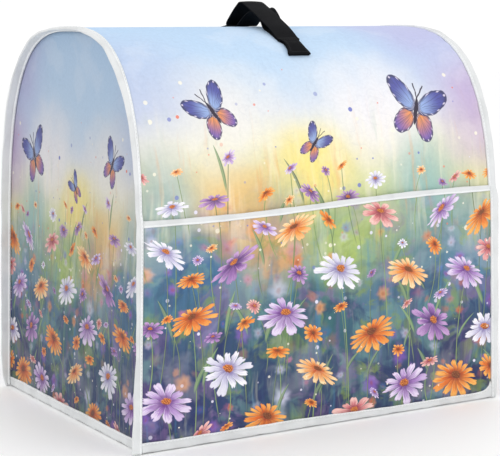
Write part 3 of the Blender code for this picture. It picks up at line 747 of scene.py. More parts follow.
def blossom_group():
    """One open blossom with broad petals, seen at a tilt."""
    g, given, wanted = node_group(
        "painted_blossom",
        [("Under", COLOUR), ("Place", VECTOR), ("Spot", VECTOR), ("Form", VECTOR)],
        [("Color", COLOUR)],
    )
    spot_across, spot_up, size = g.parts(given["Spot"])
    turn, tilt, kind = g.parts(given["Form"])
    family = g.math("FLOOR", kind)
    petals = g.times(g.less(kind, family), PETAL_SCALE)
    luck, _, lean = g.channels(g.chance(given["Spot"])["Color"])

    turned = motif_frame(g, given, spot_across, spot_up, size, turn)
    x, y, _ = g.parts(turned)
    flat = g.whole(x, g.over(y, tilt))
    flat = g.vector("ADD", flat, g.drift(g.vector("ADD", flat, given["Form"]), 2.6, 2.0, 0.20))
    x, y, _ = g.parts(flat)
    reach = g.vector("LENGTH", g.whole(x, y))
    angle = g.math("ARCTAN2", y, x)
    sector = g.add(g.times(angle, g.over(petals, 2 * pi)), g.times(luck, 3.0))
    index = g.math("FLOOR", sector)
    within = g.less(g.less(sector, index), 0.5)
    wrapped = g.math("WRAP", index, petals, 0.0)
    long, broad, pale = g.channels(g.chance(g.whole(wrapped, luck, lean))["Color"])

    spread_from_middle = g.math("ABSOLUTE", g.times(within, 2.0))
    shoulder = g.math("POWER", spread_from_middle, g.ramp_value(broad, 0.0, 1.0, 2.4, 4.2))
    rim = g.times(g.ramp_value(long, 0.0, 1.0, 0.72, 1.0), g.less(1.0, g.times(shoulder, 0.60)))
    notch = g.ease(g.math("ABSOLUTE", g.less(within, g.times(g.less(pale, 0.5), 0.3))),
                   0.0, 0.10, 0.06, 0.0)
    near_side = g.times(g.times(g.math("SINE", angle), g.less(1.0, tilt)), 0.42)
    rim = g.times(g.less(rim, notch), g.less(1.0, near_side))
    body = g.ease(reach, g.less(rim, 0.035), g.add(rim, 0.015), 1.0, 0.0)

    out = g.over(reach, rim)
    streak = g.noise(g.whole(g.times(within, 9.0), g.times(reach, 1.1), g.add(wrapped, luck)),
                     2.2, 3.0, 0.6)["Fac"]
    depth = g.add(out, g.ramp_value(streak, 0.25, 0.75, -0.28, 0.28))
    pick = g.over(g.add(family, 0.5), len(FAMILIES))

    def family_colour(part):
        stops = [(i / len(FAMILIES), getattr(one, part)) for i, one in enumerate(FAMILIES)]
        return g.ramp(pick, stops, "CONSTANT")

    heart, middle, tip = family_colour("heart"), family_colour("middle"), family_colour("tip")
    colour = g.mix(g.ease(depth, 0.12, 0.62), heart, middle)
    colour = g.mix(g.ease(depth, 0.46, 0.92), colour, tip)
    colour = g.mix(g.times(pale, 0.34), colour, tip)
    shaded = g.times(g.ease(within, 0.10, 0.50), 0.45)
    colour = g.mix(shaded, colour, g.mix(0.45, middle, heart))
    colour = g.mix(g.times(g.ease(broad, 0.62, 0.92), 0.45), colour, middle)
    tucked = g.times(g.ease(within, 0.12, 0.48), g.ease(out, 1.1, 0.3))
    colour = g.mix(g.times(tucked, 0.55), colour, heart)
    parting = g.times(g.ease(spread_from_middle, 0.86, 1.0), g.ease(out, 0.15, 0.4))
    colour = g.mix(g.times(parting, 0.55), colour, heart)
    edge = g.times(g.ease(out, 0.90, 0.99), 0.35)
    colour = g.mix(edge, colour, middle)

    eye_x, eye_y, _ = g.parts(flat)
    eye = g.vector("LENGTH", g.whole(eye_x, g.less(eye_y, g.times(g.less(1.0, tilt), 0.18))))
    grain = g.noise(flat, 20.0, 1.0)["Fac"]
    eye_edge = g.ramp_value(grain, 0.3, 0.7, 0.15, 0.21)
    disc = g.ease(eye, g.less(eye_edge, 0.03), eye_edge, 1.0, 0.0)
    ring = g.ease(eye, 0.20, 0.34, 0.45, 0.0)
    colour = g.mix(ring, colour, heart)
    button = g.mix(g.ease(grain, 0.36, 0.66), linear(150, 60, 24), linear(238, 148, 62))
    button = g.mix(g.ease(eye_y, 0.04, -0.18), button, linear(92, 36, 24))
    button = g.mix(g.times(g.math("LESS_THAN", family, LILAC - 0.5), 0.70), button, linear(74, 26, 10))
    colour = g.mix(disc, colour, button)
    g.feed(wanted["Color"], g.mix(g.times(body, 0.96), given["Under"], colour))
    return g.tree


def butterfly_group():
    """One butterfly with its wings open, both sides alike."""
    g, given, wanted = node_group(
        "painted_butterfly",
        [("Under", COLOUR), ("Place", VECTOR), ("Spot", VECTOR), ("Form", VECTOR)],
        [("Color", COLOUR)],
    )
    spot_across, spot_up, size = g.parts(given["Spot"])
    turn, squeeze, _ = g.parts(given["Form"])
    turned = motif_frame(g, given, spot_across, spot_up, size, turn)
    turned = g.vector("ADD", turned, g.drift(turned, 5.0, 2.0, 0.07))
    x, y, _ = g.parts(turned)
    side = g.over(g.math("ABSOLUTE", x), squeeze)
    half = g.whole(side, y)
    angle = g.math("ARCTAN2", y, side)
    away = g.vector("LENGTH", half)
    veins = g.noise(g.whole(g.times(angle, 6.0), g.times(away, 0.4)), 3.0, 1.0)["Fac"]

    def wing(middle, radii, slant):
        shifted = g.vector("SUBTRACT", half, (middle[0], middle[1], 0.0))
        laid = g.node("ShaderNodeVectorRotate", {"Vector": shifted, "Angle": -slant},
                      rotation_type="Z_AXIS").outputs[0]
        return g.vector("LENGTH", g.vector("DIVIDE", laid, (radii[0], radii[1], 1.0)))

    colour = given["Under"]
    wings = (
        ((0.34, -0.36), (0.38, 0.27), radians(-52), linear(240, 150, 66), linear(112, 84, 176)),
        ((0.50, 0.30), (0.56, 0.28), radians(38), linear(150, 176, 226), linear(66, 70, 158)),
    )
    for middle, radii, slant, inner, outer in wings:
        reach = wing(middle, radii, slant)
        mask = g.ease(reach, 0.96, 1.02, 1.0, 0.0)
        paint = g.mix(g.ease(away, 0.15, 0.85), inner, outer)
        paint = g.mix(g.times(g.ease(veins, 0.50, 0.60), 0.45), paint, linear(36, 36, 84))
        paint = g.mix(g.ease(reach, 0.72, 0.92, 0.0, 0.85), paint, linear(34, 34, 78))
        dots = g.times(g.ease(g.math("SINE", g.times(angle, 34.0)), 0.55, 0.85),
                       g.times(g.ease(reach, 0.80, 0.86), g.ease(reach, 0.97, 0.91)))
        paint = g.mix(g.times(dots, 0.8), paint, linear(236, 226, 246))
        colour = g.mix(g.times(mask, 0.94), colour, paint)
    body = g.vector("LENGTH", g.vector("DIVIDE", g.whole(g.times(side, squeeze), g.add(y, 0.04)),
                                       (0.055, 0.36, 1.0)))
    colour = g.mix(g.ease(body, 0.9, 1.05, 1.0, 0.0), colour, linear(52, 44, 62))
    feeler = g.math("ABSOLUTE", g.less(side, g.times(g.less(y, 0.28), 0.42)))
    shown = g.times(g.math("GREATER_THAN", y, 0.28), g.math("LESS_THAN", y, 0.66))
    colour = g.mix(g.times(g.ease(feeler, 0.010, 0.028, 1.0, 0.0), shown), colour,
                   linear(52, 44, 62))
    g.feed(wanted["Color"], colour)
    return g.tree


def print_layout():
    """All the motifs of the print, each list ordered from the back to the front."""
    luck = random.Random(colours().layout_seed)
    blossoms = []

    def is_free(across, up, size, closeness):
        return all(hypot(across - b.across, up - b.up) > closeness * (size + b.size)
                   for b in LARGE_BLOSSOMS + tuple(blossoms))

    for count, smallest, largest, highest in ((20, 0.013, 0.019, 0.245), (26, 0.007, 0.011, 0.275)):
        made = 0
        for _ in range(4000):
            size = luck.uniform(smallest, largest)
            across, up = luck.uniform(-0.205, 0.205), luck.uniform(0.008, highest)
            if made < count and is_free(across, up, size, 0.74):
                blossoms.append(Blossom(across, up, size, luck.choice(COMMON),
                                        luck.choice((8, 10, 12, 14)), luck.uniform(-0.9, 0.9),
                                        luck.uniform(0.38, 0.80)))
                made += 1
    blossoms.sort(key=lambda b: b.size)
    blossoms += sorted(LARGE_BLOSSOMS, key=lambda b: -b.up)

    strokes = []
    for blossom in blossoms:
        drop = blossom.up if blossom.size > 0.017 else min(blossom.up, luck.uniform(0.05, 0.11))
        drop = min(drop, 0.15)
        foot = blossom.across + luck.uniform(-0.016, 0.016)
        top_up = blossom.up - blossom.size * 0.15
        strokes.append(Stroke(foot, blossom.up - drop - 0.004, blossom.across, top_up,
                              luck.uniform(-0.008, 0.008), luck.uniform(0.0009, 0.0014)))
        if luck.random() < 0.62 and drop > 0.04:
            start = blossom.up - drop * luck.uniform(0.45, 0.85)
            reach = luck.choice((-1, 1)) * luck.uniform(0.010, 0.024)
            strokes.append(Stroke(foot, start, foot + reach, start + luck.uniform(0.022, 0.050),
                                  reach * -0.18, luck.uniform(0.0034, 0.0062)))
    return strokes, blossoms


def stroke_points(stroke):
    along = np.linspace(0.0, 1.0, 30)
    across = (stroke.foot_across + (stroke.top_across - stroke.foot_across) * along
              + 4 * stroke.bend * along * (1 - along))
    return np.column_stack([across, stroke.foot_up + (stroke.top_up - stroke.foot_up) * along])


def motif_rows(strokes, blossoms, butterflies):
    """For each list of motifs: slot name, how many slots, and (spots, reach, first, second) rows."""
    stroke_rows = [
        (stroke_points(s), s.width / 2 + (s.top_up - s.foot_up) / 58,
         (s.foot_across, s.foot_up, s.top_across), (s.top_up, s.bend, s.width))
        for s in strokes
    ]
    blossom_rows = [
        (np.array([[b.across, b.up]]), b.size * 1.15,
         (b.across, b.up, b.size), (b.turn, b.tilt, b.family + b.petals / PETAL_SCALE))
        for b in blossoms
    ]
    butterfly_rows = [
        (np.array([[b.across, b.up]]), b.size * 1.15,
         (b.across, b.up, b.size), (b.turn, b.squeeze, 0.0))
        for b in butterflies
    ]
    return (("stroke", STROKE_SLOTS, stroke_rows), ("blossom", BLOSSOM_SLOTS, blossom_rows),
            ("butterfly", 1, butterfly_rows))


def list_motifs(cloth, rows_by_kind):
    """Writes on each face of the cloth the motifs that touch it, back to front."""
    mesh = cloth.data
    corners = np.zeros(len(mesh.loops) * 2, np.float32)
    mesh.uv_layers["print_place"].data.foreach_get("uv", corners)
    corners = corners.reshape(len(mesh.polygons), 4, 2)
    centres = corners.mean(axis=1)
    radius = np.linalg.norm(corners - centres[:, None], axis=2).max(axis=1)
    for kind, slots, rows in rows_by_kind:
        first = np.tile(np.array(NOWHERE, np.float32), (len(centres), slots, 1))
        second = np.ones_like(first)
        used = np.zeros(len(centres), int)
        for spots, reach, one, two in rows:
            away = np.full(len(centres), 9.0)
            for spot in spots:
                away = np.minimum(away, np.linalg.norm(centres - spot, axis=1))
            touched = np.flatnonzero((away < reach + radius) & (used < slots))
            first[touched, used[touched]] = one
            second[touched, used[touched]] = two
            used[touched] += 1
        for slot in range(slots):
            for part, values in (("a", first), ("b", second)):
                layer = mesh.attributes.new(f"{kind}_{slot}_{part}", "FLOAT_VECTOR", "FACE")
                layer.data.foreach_set("vector", np.ascontiguousarray(values[:, slot]).ravel())
    return cloth


def cloth_relief_group():
    """Fine plain weave and the slight orange-peel of foam-backed cloth, as a height."""
    g, given, wanted = node_group(
        "cloth_relief", [("Place", VECTOR), ("Threads", FLOAT)], [("Height", FLOAT), ("Fleck", FLOAT)])
    across, up, _ = g.parts(g.vector("SCALE", given["Place"], scale=given["Threads"]))
    warp = g.math("SINE", g.times(across, pi))
    weft = g.math("SINE", g.times(up, pi))
    weave = g.math("ABSOLUTE", g.times(warp, weft))
    soft = g.noise(given["Place"], 260.0, 3.0, 0.6)["Fac"]
    height = g.add(g.times(weave, 0.5), g.times(soft, 0.8))
    g.feed(wanted["Height"], height)
    g.feed(wanted["Fleck"], soft)
    return g.tree


def plain_material(name, colour, roughness, sheen=0.0):
    made = bpy.data.materials.new(name)
    made.use_nodes = True
    graph = Graph(made.node_tree)
    shader = made.node_tree.nodes["Principled BSDF"]
    shader.inputs["Base Color"].default_value = (*colour, 1.0)
    shader.inputs["Roughness"].default_value = roughness
    shader.inputs["Sheen Weight"].default_value = sheen
    shader.inputs["Sheen Roughness"].default_value = 0.5
    return made, graph, shader


def relief(graph, shader, height, distance, strength=1.0):
    bump = graph.node("ShaderNodeBump", {"Height": height})
    bump.inputs["Distance"].default_value = distance
    bump.inputs["Strength"].default_value = strength
    graph.tree.links.new(bump.outputs["Normal"], shader.inputs["Normal"])


def shared_group(name, build):
    return bpy.data.node_groups.get(name) or build()


def printed_cloth_material(name="print_on_cloth", painted_shade=0.0):
    """The print; its last argument is how much darker and bluer it is than on the front: painted shade, for
    the end panels.
    """
    found = bpy.data.materials.get(name)
    if found:
        return found
    made, g, shader = plain_material(name, (0.5, 0.5, 0.5), 0.72, 0.06)
    place = g.node("ShaderNodeAttribute", attribute_name="print_place").outputs["Vector"]
    colour = place_group(g, shared_group("painted_wash", wash_group), {"Place": place})["Color"]

    def after(colour, *vectors):
        """The same vectors, scaled by a 1 that is known only once the colour is: the motifs are then
        worked out one after another, so that the renderer has room for all of them."""
        one = g.add(g.times(g.channels(colour)[0], 1e-20), 1.0)
        return [g.vector("SCALE", vector, scale=one) for vector in vectors]

    drops = shared_group("paint_drops", splatter_group)
    up = g.parts(place)[1]
    meadow = g.ease(up, 0.20, 0.29, 1.0, 0.0)
    horizon = g.times(g.ease(up, 0.14, 0.22), g.ease(up, 0.30, 0.40, 1.0, 0.0))
    for offset, scale, share, mask, paint in (
        (0.0, 62.0, 0.16, meadow, (236, 232, 250)), (5.0, 54.0, 0.12, horizon, (104, 116, 196)),
        (8.0, 70.0, 0.08, horizon, (232, 120, 90)), (11.0, 48.0, 0.10, horizon, (250, 244, 222)),
    ):
        here, = after(colour, place)
        colour = place_group(g, drops, {
            "Under": colour, "Place": g.vector("ADD", here, (offset, 0.0, 0.0)), "Scale": scale,
            "Share": g.times(mask, share), "Drop": linear(*paint),
        })["Color"]
    builders = (("stroke", STROKE_SLOTS, stroke_group, ("Ends", "Form")),
                ("blossom", BLOSSOM_SLOTS, blossom_group, ("Spot", "Form")),
                ("butterfly", 1, butterfly_group, ("Spot", "Form")))
    for kind, slots, build, sockets in builders:
        motif = shared_group("painted_" + kind, build)
        for slot in range(slots):
            listed = [g.node("ShaderNodeAttribute",
                             attribute_name=f"{kind}_{slot}_{part}").outputs["Vector"] for part in "ab"]
            here, first, second = after(colour, place, *listed)
            colour = place_group(g, motif, {"Under": colour, "Place": here,
                                            sockets[0]: first, sockets[1]: second})["Color"]
    here, = after(colour, place)
    colour = place_group(g, drops, {"Under": colour, "Place": g.vector("ADD", here, (3.3, 1.9, 0.0)),
                                    "Scale": 95.0, "Share": g.times(meadow, 0.10),
                                    "Drop": linear(250, 244, 226)})["Color"]
    weave = place_group(g, shared_group("cloth_relief", cloth_relief_group),
                        {"Place": place, "Threads": PRINT_THREADS})
    colour = g.mix(g.ease(weave["Fleck"], 0.35, 0.65, 0.05, 0.0), colour, linear(60, 64, 90))
    # Painted shade: the copy of the print on the end panels is mixed toward a dark blue
    if painted_shade:
        colour = g.mix(painted_shade, colour, linear(2, 18, 52))
    g.feed(shader.inputs["Base Color"], colour)
    relief(g, shader, weave["Height"], 0.00006)
    return made


def tape_relief_group():
    """Crosswise ribs of woven tape, as a height, and a soft mottle."""
    g, given, wanted = node_group(
        "tape_relief", [("Place", VECTOR), ("Ribs", FLOAT)], [("Height", FLOAT), ("Fleck", FLOAT)])
    x, y, z = g.parts(given["Place"])
    diagonal = g.add(g.add(x, y), z)
    rib = g.math("SINE", g.times(diagonal, given["Ribs"]))
    cross = g.math("SINE", g.times(g.less(g.less(x, y), z), given["Ribs"]))
    soft = g.noise(given["Place"], 180.0, 3.0, 0.6)["Fac"]
    g.feed(wanted["Height"], g.add(g.times(g.times(rib, cross), 0.5), soft))
    g.feed(wanted["Fleck"], g.noise(given["Place"], 42.0, 3.0)["Fac"])
    return g.tree


def woven_material(name, colour, shade, roughness, sheen, pitch, mottle, raised=0.0, cloth=False):
    """Plain cloth, tape or thread: a mottle from its colour to a shade of it, over a fine weave."""
    found = bpy.data.materials.get(name)
    if found:
        return found
    made, g, shader = plain_material(name, colour, roughness, sheen)
    if cloth:
        place = g.node("ShaderNodeUVMap", uv_map="print_place").outputs["UV"]
        group, pitch_name = shared_group("cloth_relief", cloth_relief_group), "Threads"
    else:
        place = g.node("ShaderNodeTexCoord").outputs["Object"]
        group, pitch_name = shared_group("tape_relief", tape_relief_group), "Ribs"
    weave = place_group(g, group, {"Place": place, pitch_name: pitch})
    darker = tuple(v * shade for v in colour)
    g.feed(shader.inputs["Base Color"],
           g.mix(g.ease(weave["Fleck"], *mottle), (*colour, 1.0), (*darker, 1.0)))
    if raised:
        relief(g, shader, weave["Height"], raised)
    return made


def lining_material():
    return woven_material("lining_face", colours().lining, 0.84, 0.9, 0.1, LINING_THREADS,
                          (0.40, 0.62), 0.00012, cloth=True)


def tape_materials():
    """The tape, and a lighter copy of it for its stitched folds, where it lies in two layers: the lighter
    copy is a painted highlight.
    """
    # Painted highlight: the folds' tape colour, about a sixth lighter
    light = tuple(min(v * 1.16, 0.9) for v in colours().tape)
    return (woven_material("tape_weave", colours().tape, 0.90, 0.66, 0.15, TAPE_RIBS,
                           (0.42, 0.68), 0.00008),
            woven_material("tape_fold", light, 0.93, 0.60, 0.15, TAPE_RIBS, (0.42, 0.68), 0.00008))


def thread_material():
    return woven_material("white_thread", colours().tape, 0.82, 0.55, 0.2, THREAD_RIBS, (0.40, 0.70))


def dark_thread_material():
    lit = tuple(v * 1.6 for v in colours().webbing)
    made = woven_material("black_thread", lit, 0.5, 0.5, 0.05, THREAD_RIBS, (0.40, 0.70))
    made.node_tree.nodes["Principled BSDF"].inputs["Specular IOR Level"].default_value = 0.3
    return made


def webbing_material():
    found = bpy.data.materials.get("webbing_weave")
    if found:
        return found
    made, g, shader = plain_material("webbing_weave", colours().webbing, 0.66, 0.0)
    shader.inputs["Specular IOR Level"].default_value = 0.06
    place = g.node("ShaderNodeUVMap", uv_map="print_place").outputs["UV"]
    across, along, _ = g.parts(place)
    rib = g.math("ABSOLUTE", g.math("SINE", g.times(across, pi / WEBBING_RIB)))
    pick = g.math("SINE", g.add(g.times(along, pi / WEBBING_PICK), g.times(g.math("SIGN", g.math(
        "SINE", g.times(across, pi / WEBBING_RIB))), pi / 2)))
    height = g.add(rib, g.times(pick, 0.35))
    # Painted sheen: soft wandering patches mixed toward the lighter colour
    sheen_patches = g.noise(place, 70.0, 4.0, 0.6)["Fac"]
    base = (*colours().webbing, 1.0)
    lit = tuple(v * 1.9 + 0.002 for v in colours().webbing) + (1.0,)
    # Painted highlight on the tops of the ribs
    colour = g.mix(g.ease(height, 0.4, 1.2, 0.0, 0.5), base, lit)
    colour = g.mix(g.ease(sheen_patches, 0.48, 0.66, 0.0, 0.5), colour, lit)
    g.feed(shader.inputs["Base Color"], colour)
    relief(g, shader, height, 0.00018)
    return made


# Operators

class COVER_OT_main_panel(bpy.types.Operator):
    """Drape the long printed panel up the front, over the arch and down the back"""
    bl_idname = "cover.main_panel"
    bl_label = "Main Panel"

    COLUMNS = 80
    ROWS = 240

    def execute(self, context):
        outline = Outline()

        def spot(i, j):
            share = spread(2 * i / self.COLUMNS - 1, GATHER)
            start = hem_height((share + 1) / 2) - HEM_TUCK
            end = outline.length - hem_height(2 + (1 - share) / 2) + HEM_TUCK
            return share, start + (end - start) * j / self.ROWS

        def place(i, j):
            return panel_place(outline, *spot(i, j))

        def print_place(i, j):
            share, distance = spot(i, j)
            if distance > outline.ridge:
                return share * context.scene.cover_sizes.width / 2, outline.length - distance
            return share * context.scene.cover_sizes.width / 2, distance

        panel = cloth_sheet("main_panel_cloth", self.COLUMNS, self.ROWS, place, print_place,
                            sizes().cloth, printed_cloth_material(), lining_material())
        list_motifs(panel, motif_rows(*print_layout(), BUTTERFLIES))
        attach(panel, "root")
        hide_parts("main_panel")
        return {"FINISHED"}


class COVER_OT_end_panels(bpy.types.Operator):
    """Set the two arched end panels inside the seams"""
    bl_idname = "cover.end_panels"
    bl_label = "End Panels"

    COLUMNS = 96
    ROWS = 64
    PRINT_RISE = 1.20        # the print on the ends is this much smaller
    # Painted shade: how far the end panels' print is darkened toward blue
    PAINTED_SHADE = 0.31

    def execute(self, context):
        outline = Outline()
        s = sizes()
        clearance = s.cloth + GAP + RIM_ROOM
        layout = print_layout()
        spring = s.height - s.arch_rise
        first = outline.front_distance(spring)
        last = outline.length - first
        for name, node, side in (("end_panel_cloth_left", "end_panel_left", -1),
                                 ("end_panel_cloth_right", "end_panel_right", 1)):
            rim = []
            for i in range(self.COLUMNS + 1):
                y, z, out_y, out_z = outline.at(first + (last - first) * i / self.COLUMNS)
                rim.append((y - out_y * clearance, z - out_z * clearance))

            rim_points = np.array(
                rim + [(side_y * (wall_depth(side_y, z) - clearance), z)
                       for side_y in (-1, 1) for z in np.linspace(0.0, spring, 40)])

            def rim_distance(y, z):
                return float(np.hypot(rim_points[:, 0] - y, rim_points[:, 1] - z).min())

            def spot(i, j):
                top_y, top_z = rim[i]
                along = top_y / s.depth + 0.5
                foot = hem_height(1 + along if side > 0 else 4 - along) - HEM_TUCK
                z = foot + (top_z - foot) * j / self.ROWS
                wall = -1 if top_y < 0 else 1
                full = wall_depth(wall, spring)
                y = top_y * (1 + (wall_depth(wall, min(z, spring)) - full) / full)
                return y, z

            def place(i, j):
                y, z = spot(i, j)
                fade = (1 - (2 * i / self.COLUMNS - 1) ** 4) * (1 - j / self.ROWS)
                rise = swell_height(END_SWELLS, y, z) * fade
                edge = min(s.depth / 2 - abs(y), 0.1) + 0.1 * (1 - j / self.ROWS) * fade
                rise += seam_pucker(max(edge, 0.0), z + y)
                rise += END_RIM_RISE * exp(-rim_distance(y, z) / 0.005)
                return Vector((side * (half_width(z) - END_INSET + rise), y + s.middle_y, z))

            def print_place(i, j):
                y, z = spot(i, j)
                return -side * y / s.depth * s.width, z * self.PRINT_RISE

            panel = cloth_sheet(name, self.COLUMNS, self.ROWS, place, print_place,
                                s.cloth, printed_cloth_material("print_on_ends", self.PAINTED_SHADE),
                                lining_material())
            list_motifs(panel, motif_rows(*layout, BUTTERFLIES))
            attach(panel, "root")
            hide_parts(node)
        return {"FINISHED"}


def pocket_line(share):
    """Middle height of the pocket tape; share runs from -1 at the left seam to 1 at the right."""
    s = sizes()
    level = s.pocket_left + (s.pocket_right - s.pocket_left) * (share + 1) / 2
    return level - POCKET_WAVE * sin(pi * (share + 1))


def pocket_stand(share, rise_share):
    """How far the pocket's inner face is off the front; rise_share is 0 at the hem, 1 at the edge."""
    return GAP + max(rise_share, 0.0) ** 2 * (POCKET_STAND + POCKET_BAG * (1 - share * share))


class COVER_OT_pocket(bpy.types.Operator):
    """Lay the pocket over the front and fold its tape over the open edge"""
    bl_idname = "cover.pocket"
    bl_label = "Pocket"

    COLUMNS = 80
    ROWS = 56
    TAPE_STEPS = 160

    def execute(self, context):
        outline = Outline()
        s = sizes()

        def spot(i, j):
            share = spread(2 * i / self.COLUMNS - 1, GATHER)
            top = outline.front_distance(pocket_line(share) - POCKET_TAPE_HEIGHT / 2 + 0.0012)
            foot = hem_height((share + 1) / 2) - HEM_TUCK
            return share, foot + (top - foot) * j / self.ROWS

        def place(i, j):
            share, distance = spot(i, j)
            lift = pocket_stand(share, j / self.ROWS) + s.pocket_cloth
            return panel_place(outline, share, distance, lift)

        def print_place(i, j):
            share, distance = spot(i, j)
            return share * s.width / 2, distance

        pocket = cloth_sheet("pocket_cloth", self.COLUMNS, self.ROWS, place, print_place,
                             s.pocket_cloth, printed_cloth_material(), lining_material())
        list_motifs(pocket, motif_rows(*print_layout(), BUTTERFLIES))
        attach(pocket, "root")
        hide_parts("pocket_panel")

        sections = []
        for i in range(self.TAPE_STEPS + 1):
            share = 2 * i / self.TAPE_STEPS - 1
            middle = outline.front_distance(pocket_line(share))
            cloth_middle = pocket_stand(share, 1.0) + s.pocket_cloth / 2
            half_tall = POCKET_TAPE_HEIGHT / 2 * (1 + 0.05 * sin(share * 17.0) + 0.03 * sin(share * 41.0))
            points = []
            for along, out in folded_tape_section(half_tall, POCKET_TAPE_THICK / 2):
                points.append(panel_place(outline, share, middle + along, cloth_middle + out))
            sections.append(points)
        tape = rolled_strip("pocket_binding_tape", sections, tape_materials(),
                            POCKET_FOLDS)
        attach(tape, "root")
        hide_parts("pocket_binding")
        return {"FINISHED"}


def folded_tape_section(half_tall, half_thick):
    """Section of tape folded over an edge, as (along, outward) pairs: a soft round top, flat
    sides and a stitched fold at the bottom of each side."""
    points = []
    for i in range(7):
        angle = pi * i / 6
        points.append((half_tall - half_thick + half_thick * sin(angle), half_thick * cos(angle)))
    fold = POCKET_FOLD
    for face in (-1, 1):
        side = [
            (half_tall * 0.2, face * half_thick * 0.98),
            (-half_tall + fold + 0.0004, face * half_thick * 0.97),
            (-half_tall + fold, face * (half_thick + 0.0002)),
            (-half_tall + 0.0004, face * (half_thick + 0.0002)),
            (-half_tall, face * half_thick * 0.75),
        ]
        points += side if face < 0 else side[::-1]
    return points


def seam_tape_section(under, over, width, tip_thick, sag):
    """Section of a bound seam as (sideways, outward) pairs, from the stitched fold to the tip."""
    def face(share, level, sign):
        mid = (over - under) / 2
        edge = over - tip_thick / 2 - 0.0002
        centre = mid + (edge - mid) * share
        half = (over + under) / 2 + (tip_thick / 2 - (over + under) / 2) * share
        return centre + sign * (half + level) + sag * share * share

    def side(sign):
        fold = FOLD_WIDTH / width
        return [
            (0.0, face(0.0, -0.0003, sign)), (0.0002, face(0.0, FOLD_STAND * 0.8, sign)),
            (FOLD_WIDTH * 0.5, face(fold * 0.5, FOLD_STAND, sign)),
            (FOLD_WIDTH - 0.0002, face(fold, FOLD_STAND * 0.9, sign)),
            (FOLD_WIDTH, face(fold, -0.0001, sign)),
            (FOLD_WIDTH + 0.0006, face(fold + 0.1, 0.0, sign)),
            (width * 0.55, face(0.55, 0.0001, sign)),
            (width - tip_thick * 0.45, face(1.0, -0.0001, sign)),
        ]

    tip = []
    for i in range(1, 6):
        angle = pi / 2 - pi * i / 6
        middle = (face(1.0, 0.0, 1) + face(1.0, 0.0, -1)) / 2
        tip.append((width - tip_thick * 0.45 + tip_thick * 0.45 * cos(angle),
                    middle + tip_thick / 2 * sin(angle)))
    return side(1) + tip + side(-1)[::-1]


def stitch_places(corners, pitch):
    """Even places round a closed loop, each with the way that the loop runs there."""
    gone = 0.0
    for here, ahead in zip(corners, corners[1:] + corners[:1]):
        step = (ahead - here).length
        while gone < step:
            yield here.lerp(ahead, gone / max(step, 1e-6)), ahead - here
            gone += pitch
        gone -= step


def stitch_row(name, stitches, size, material):
    """A row of sewn stitches; each is a (middle, along, out) triple of vectors."""
    long, wide, tall = size
    bm = bmesh.new()
    bmesh.ops.create_uvsphere(bm, u_segments=6, v_segments=4, radius=1.0)
    bead = bpy.data.meshes.new("stitch_bead")
    bm.to_mesh(bead)
    bm.clear()
    for middle, along, out in stitches:
        along = along.normalized()
        across = out.cross(along).normalized()
        up = along.cross(across)
        frame_of_stitch = Matrix((along * long / 2, across * wide / 2, up * tall / 2)).transposed()
        stitch = bead.copy()
        stitch.transform(Matrix.Translation(middle) @ frame_of_stitch.to_4x4())
        bm.from_mesh(stitch)
        bpy.data.meshes.remove(stitch)
    bpy.data.meshes.remove(bead)
    bmesh.ops.recalc_face_normals(bm, faces=bm.faces)
    row = finish_mesh(bm, name, [material])
    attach(row, "root")
    return row


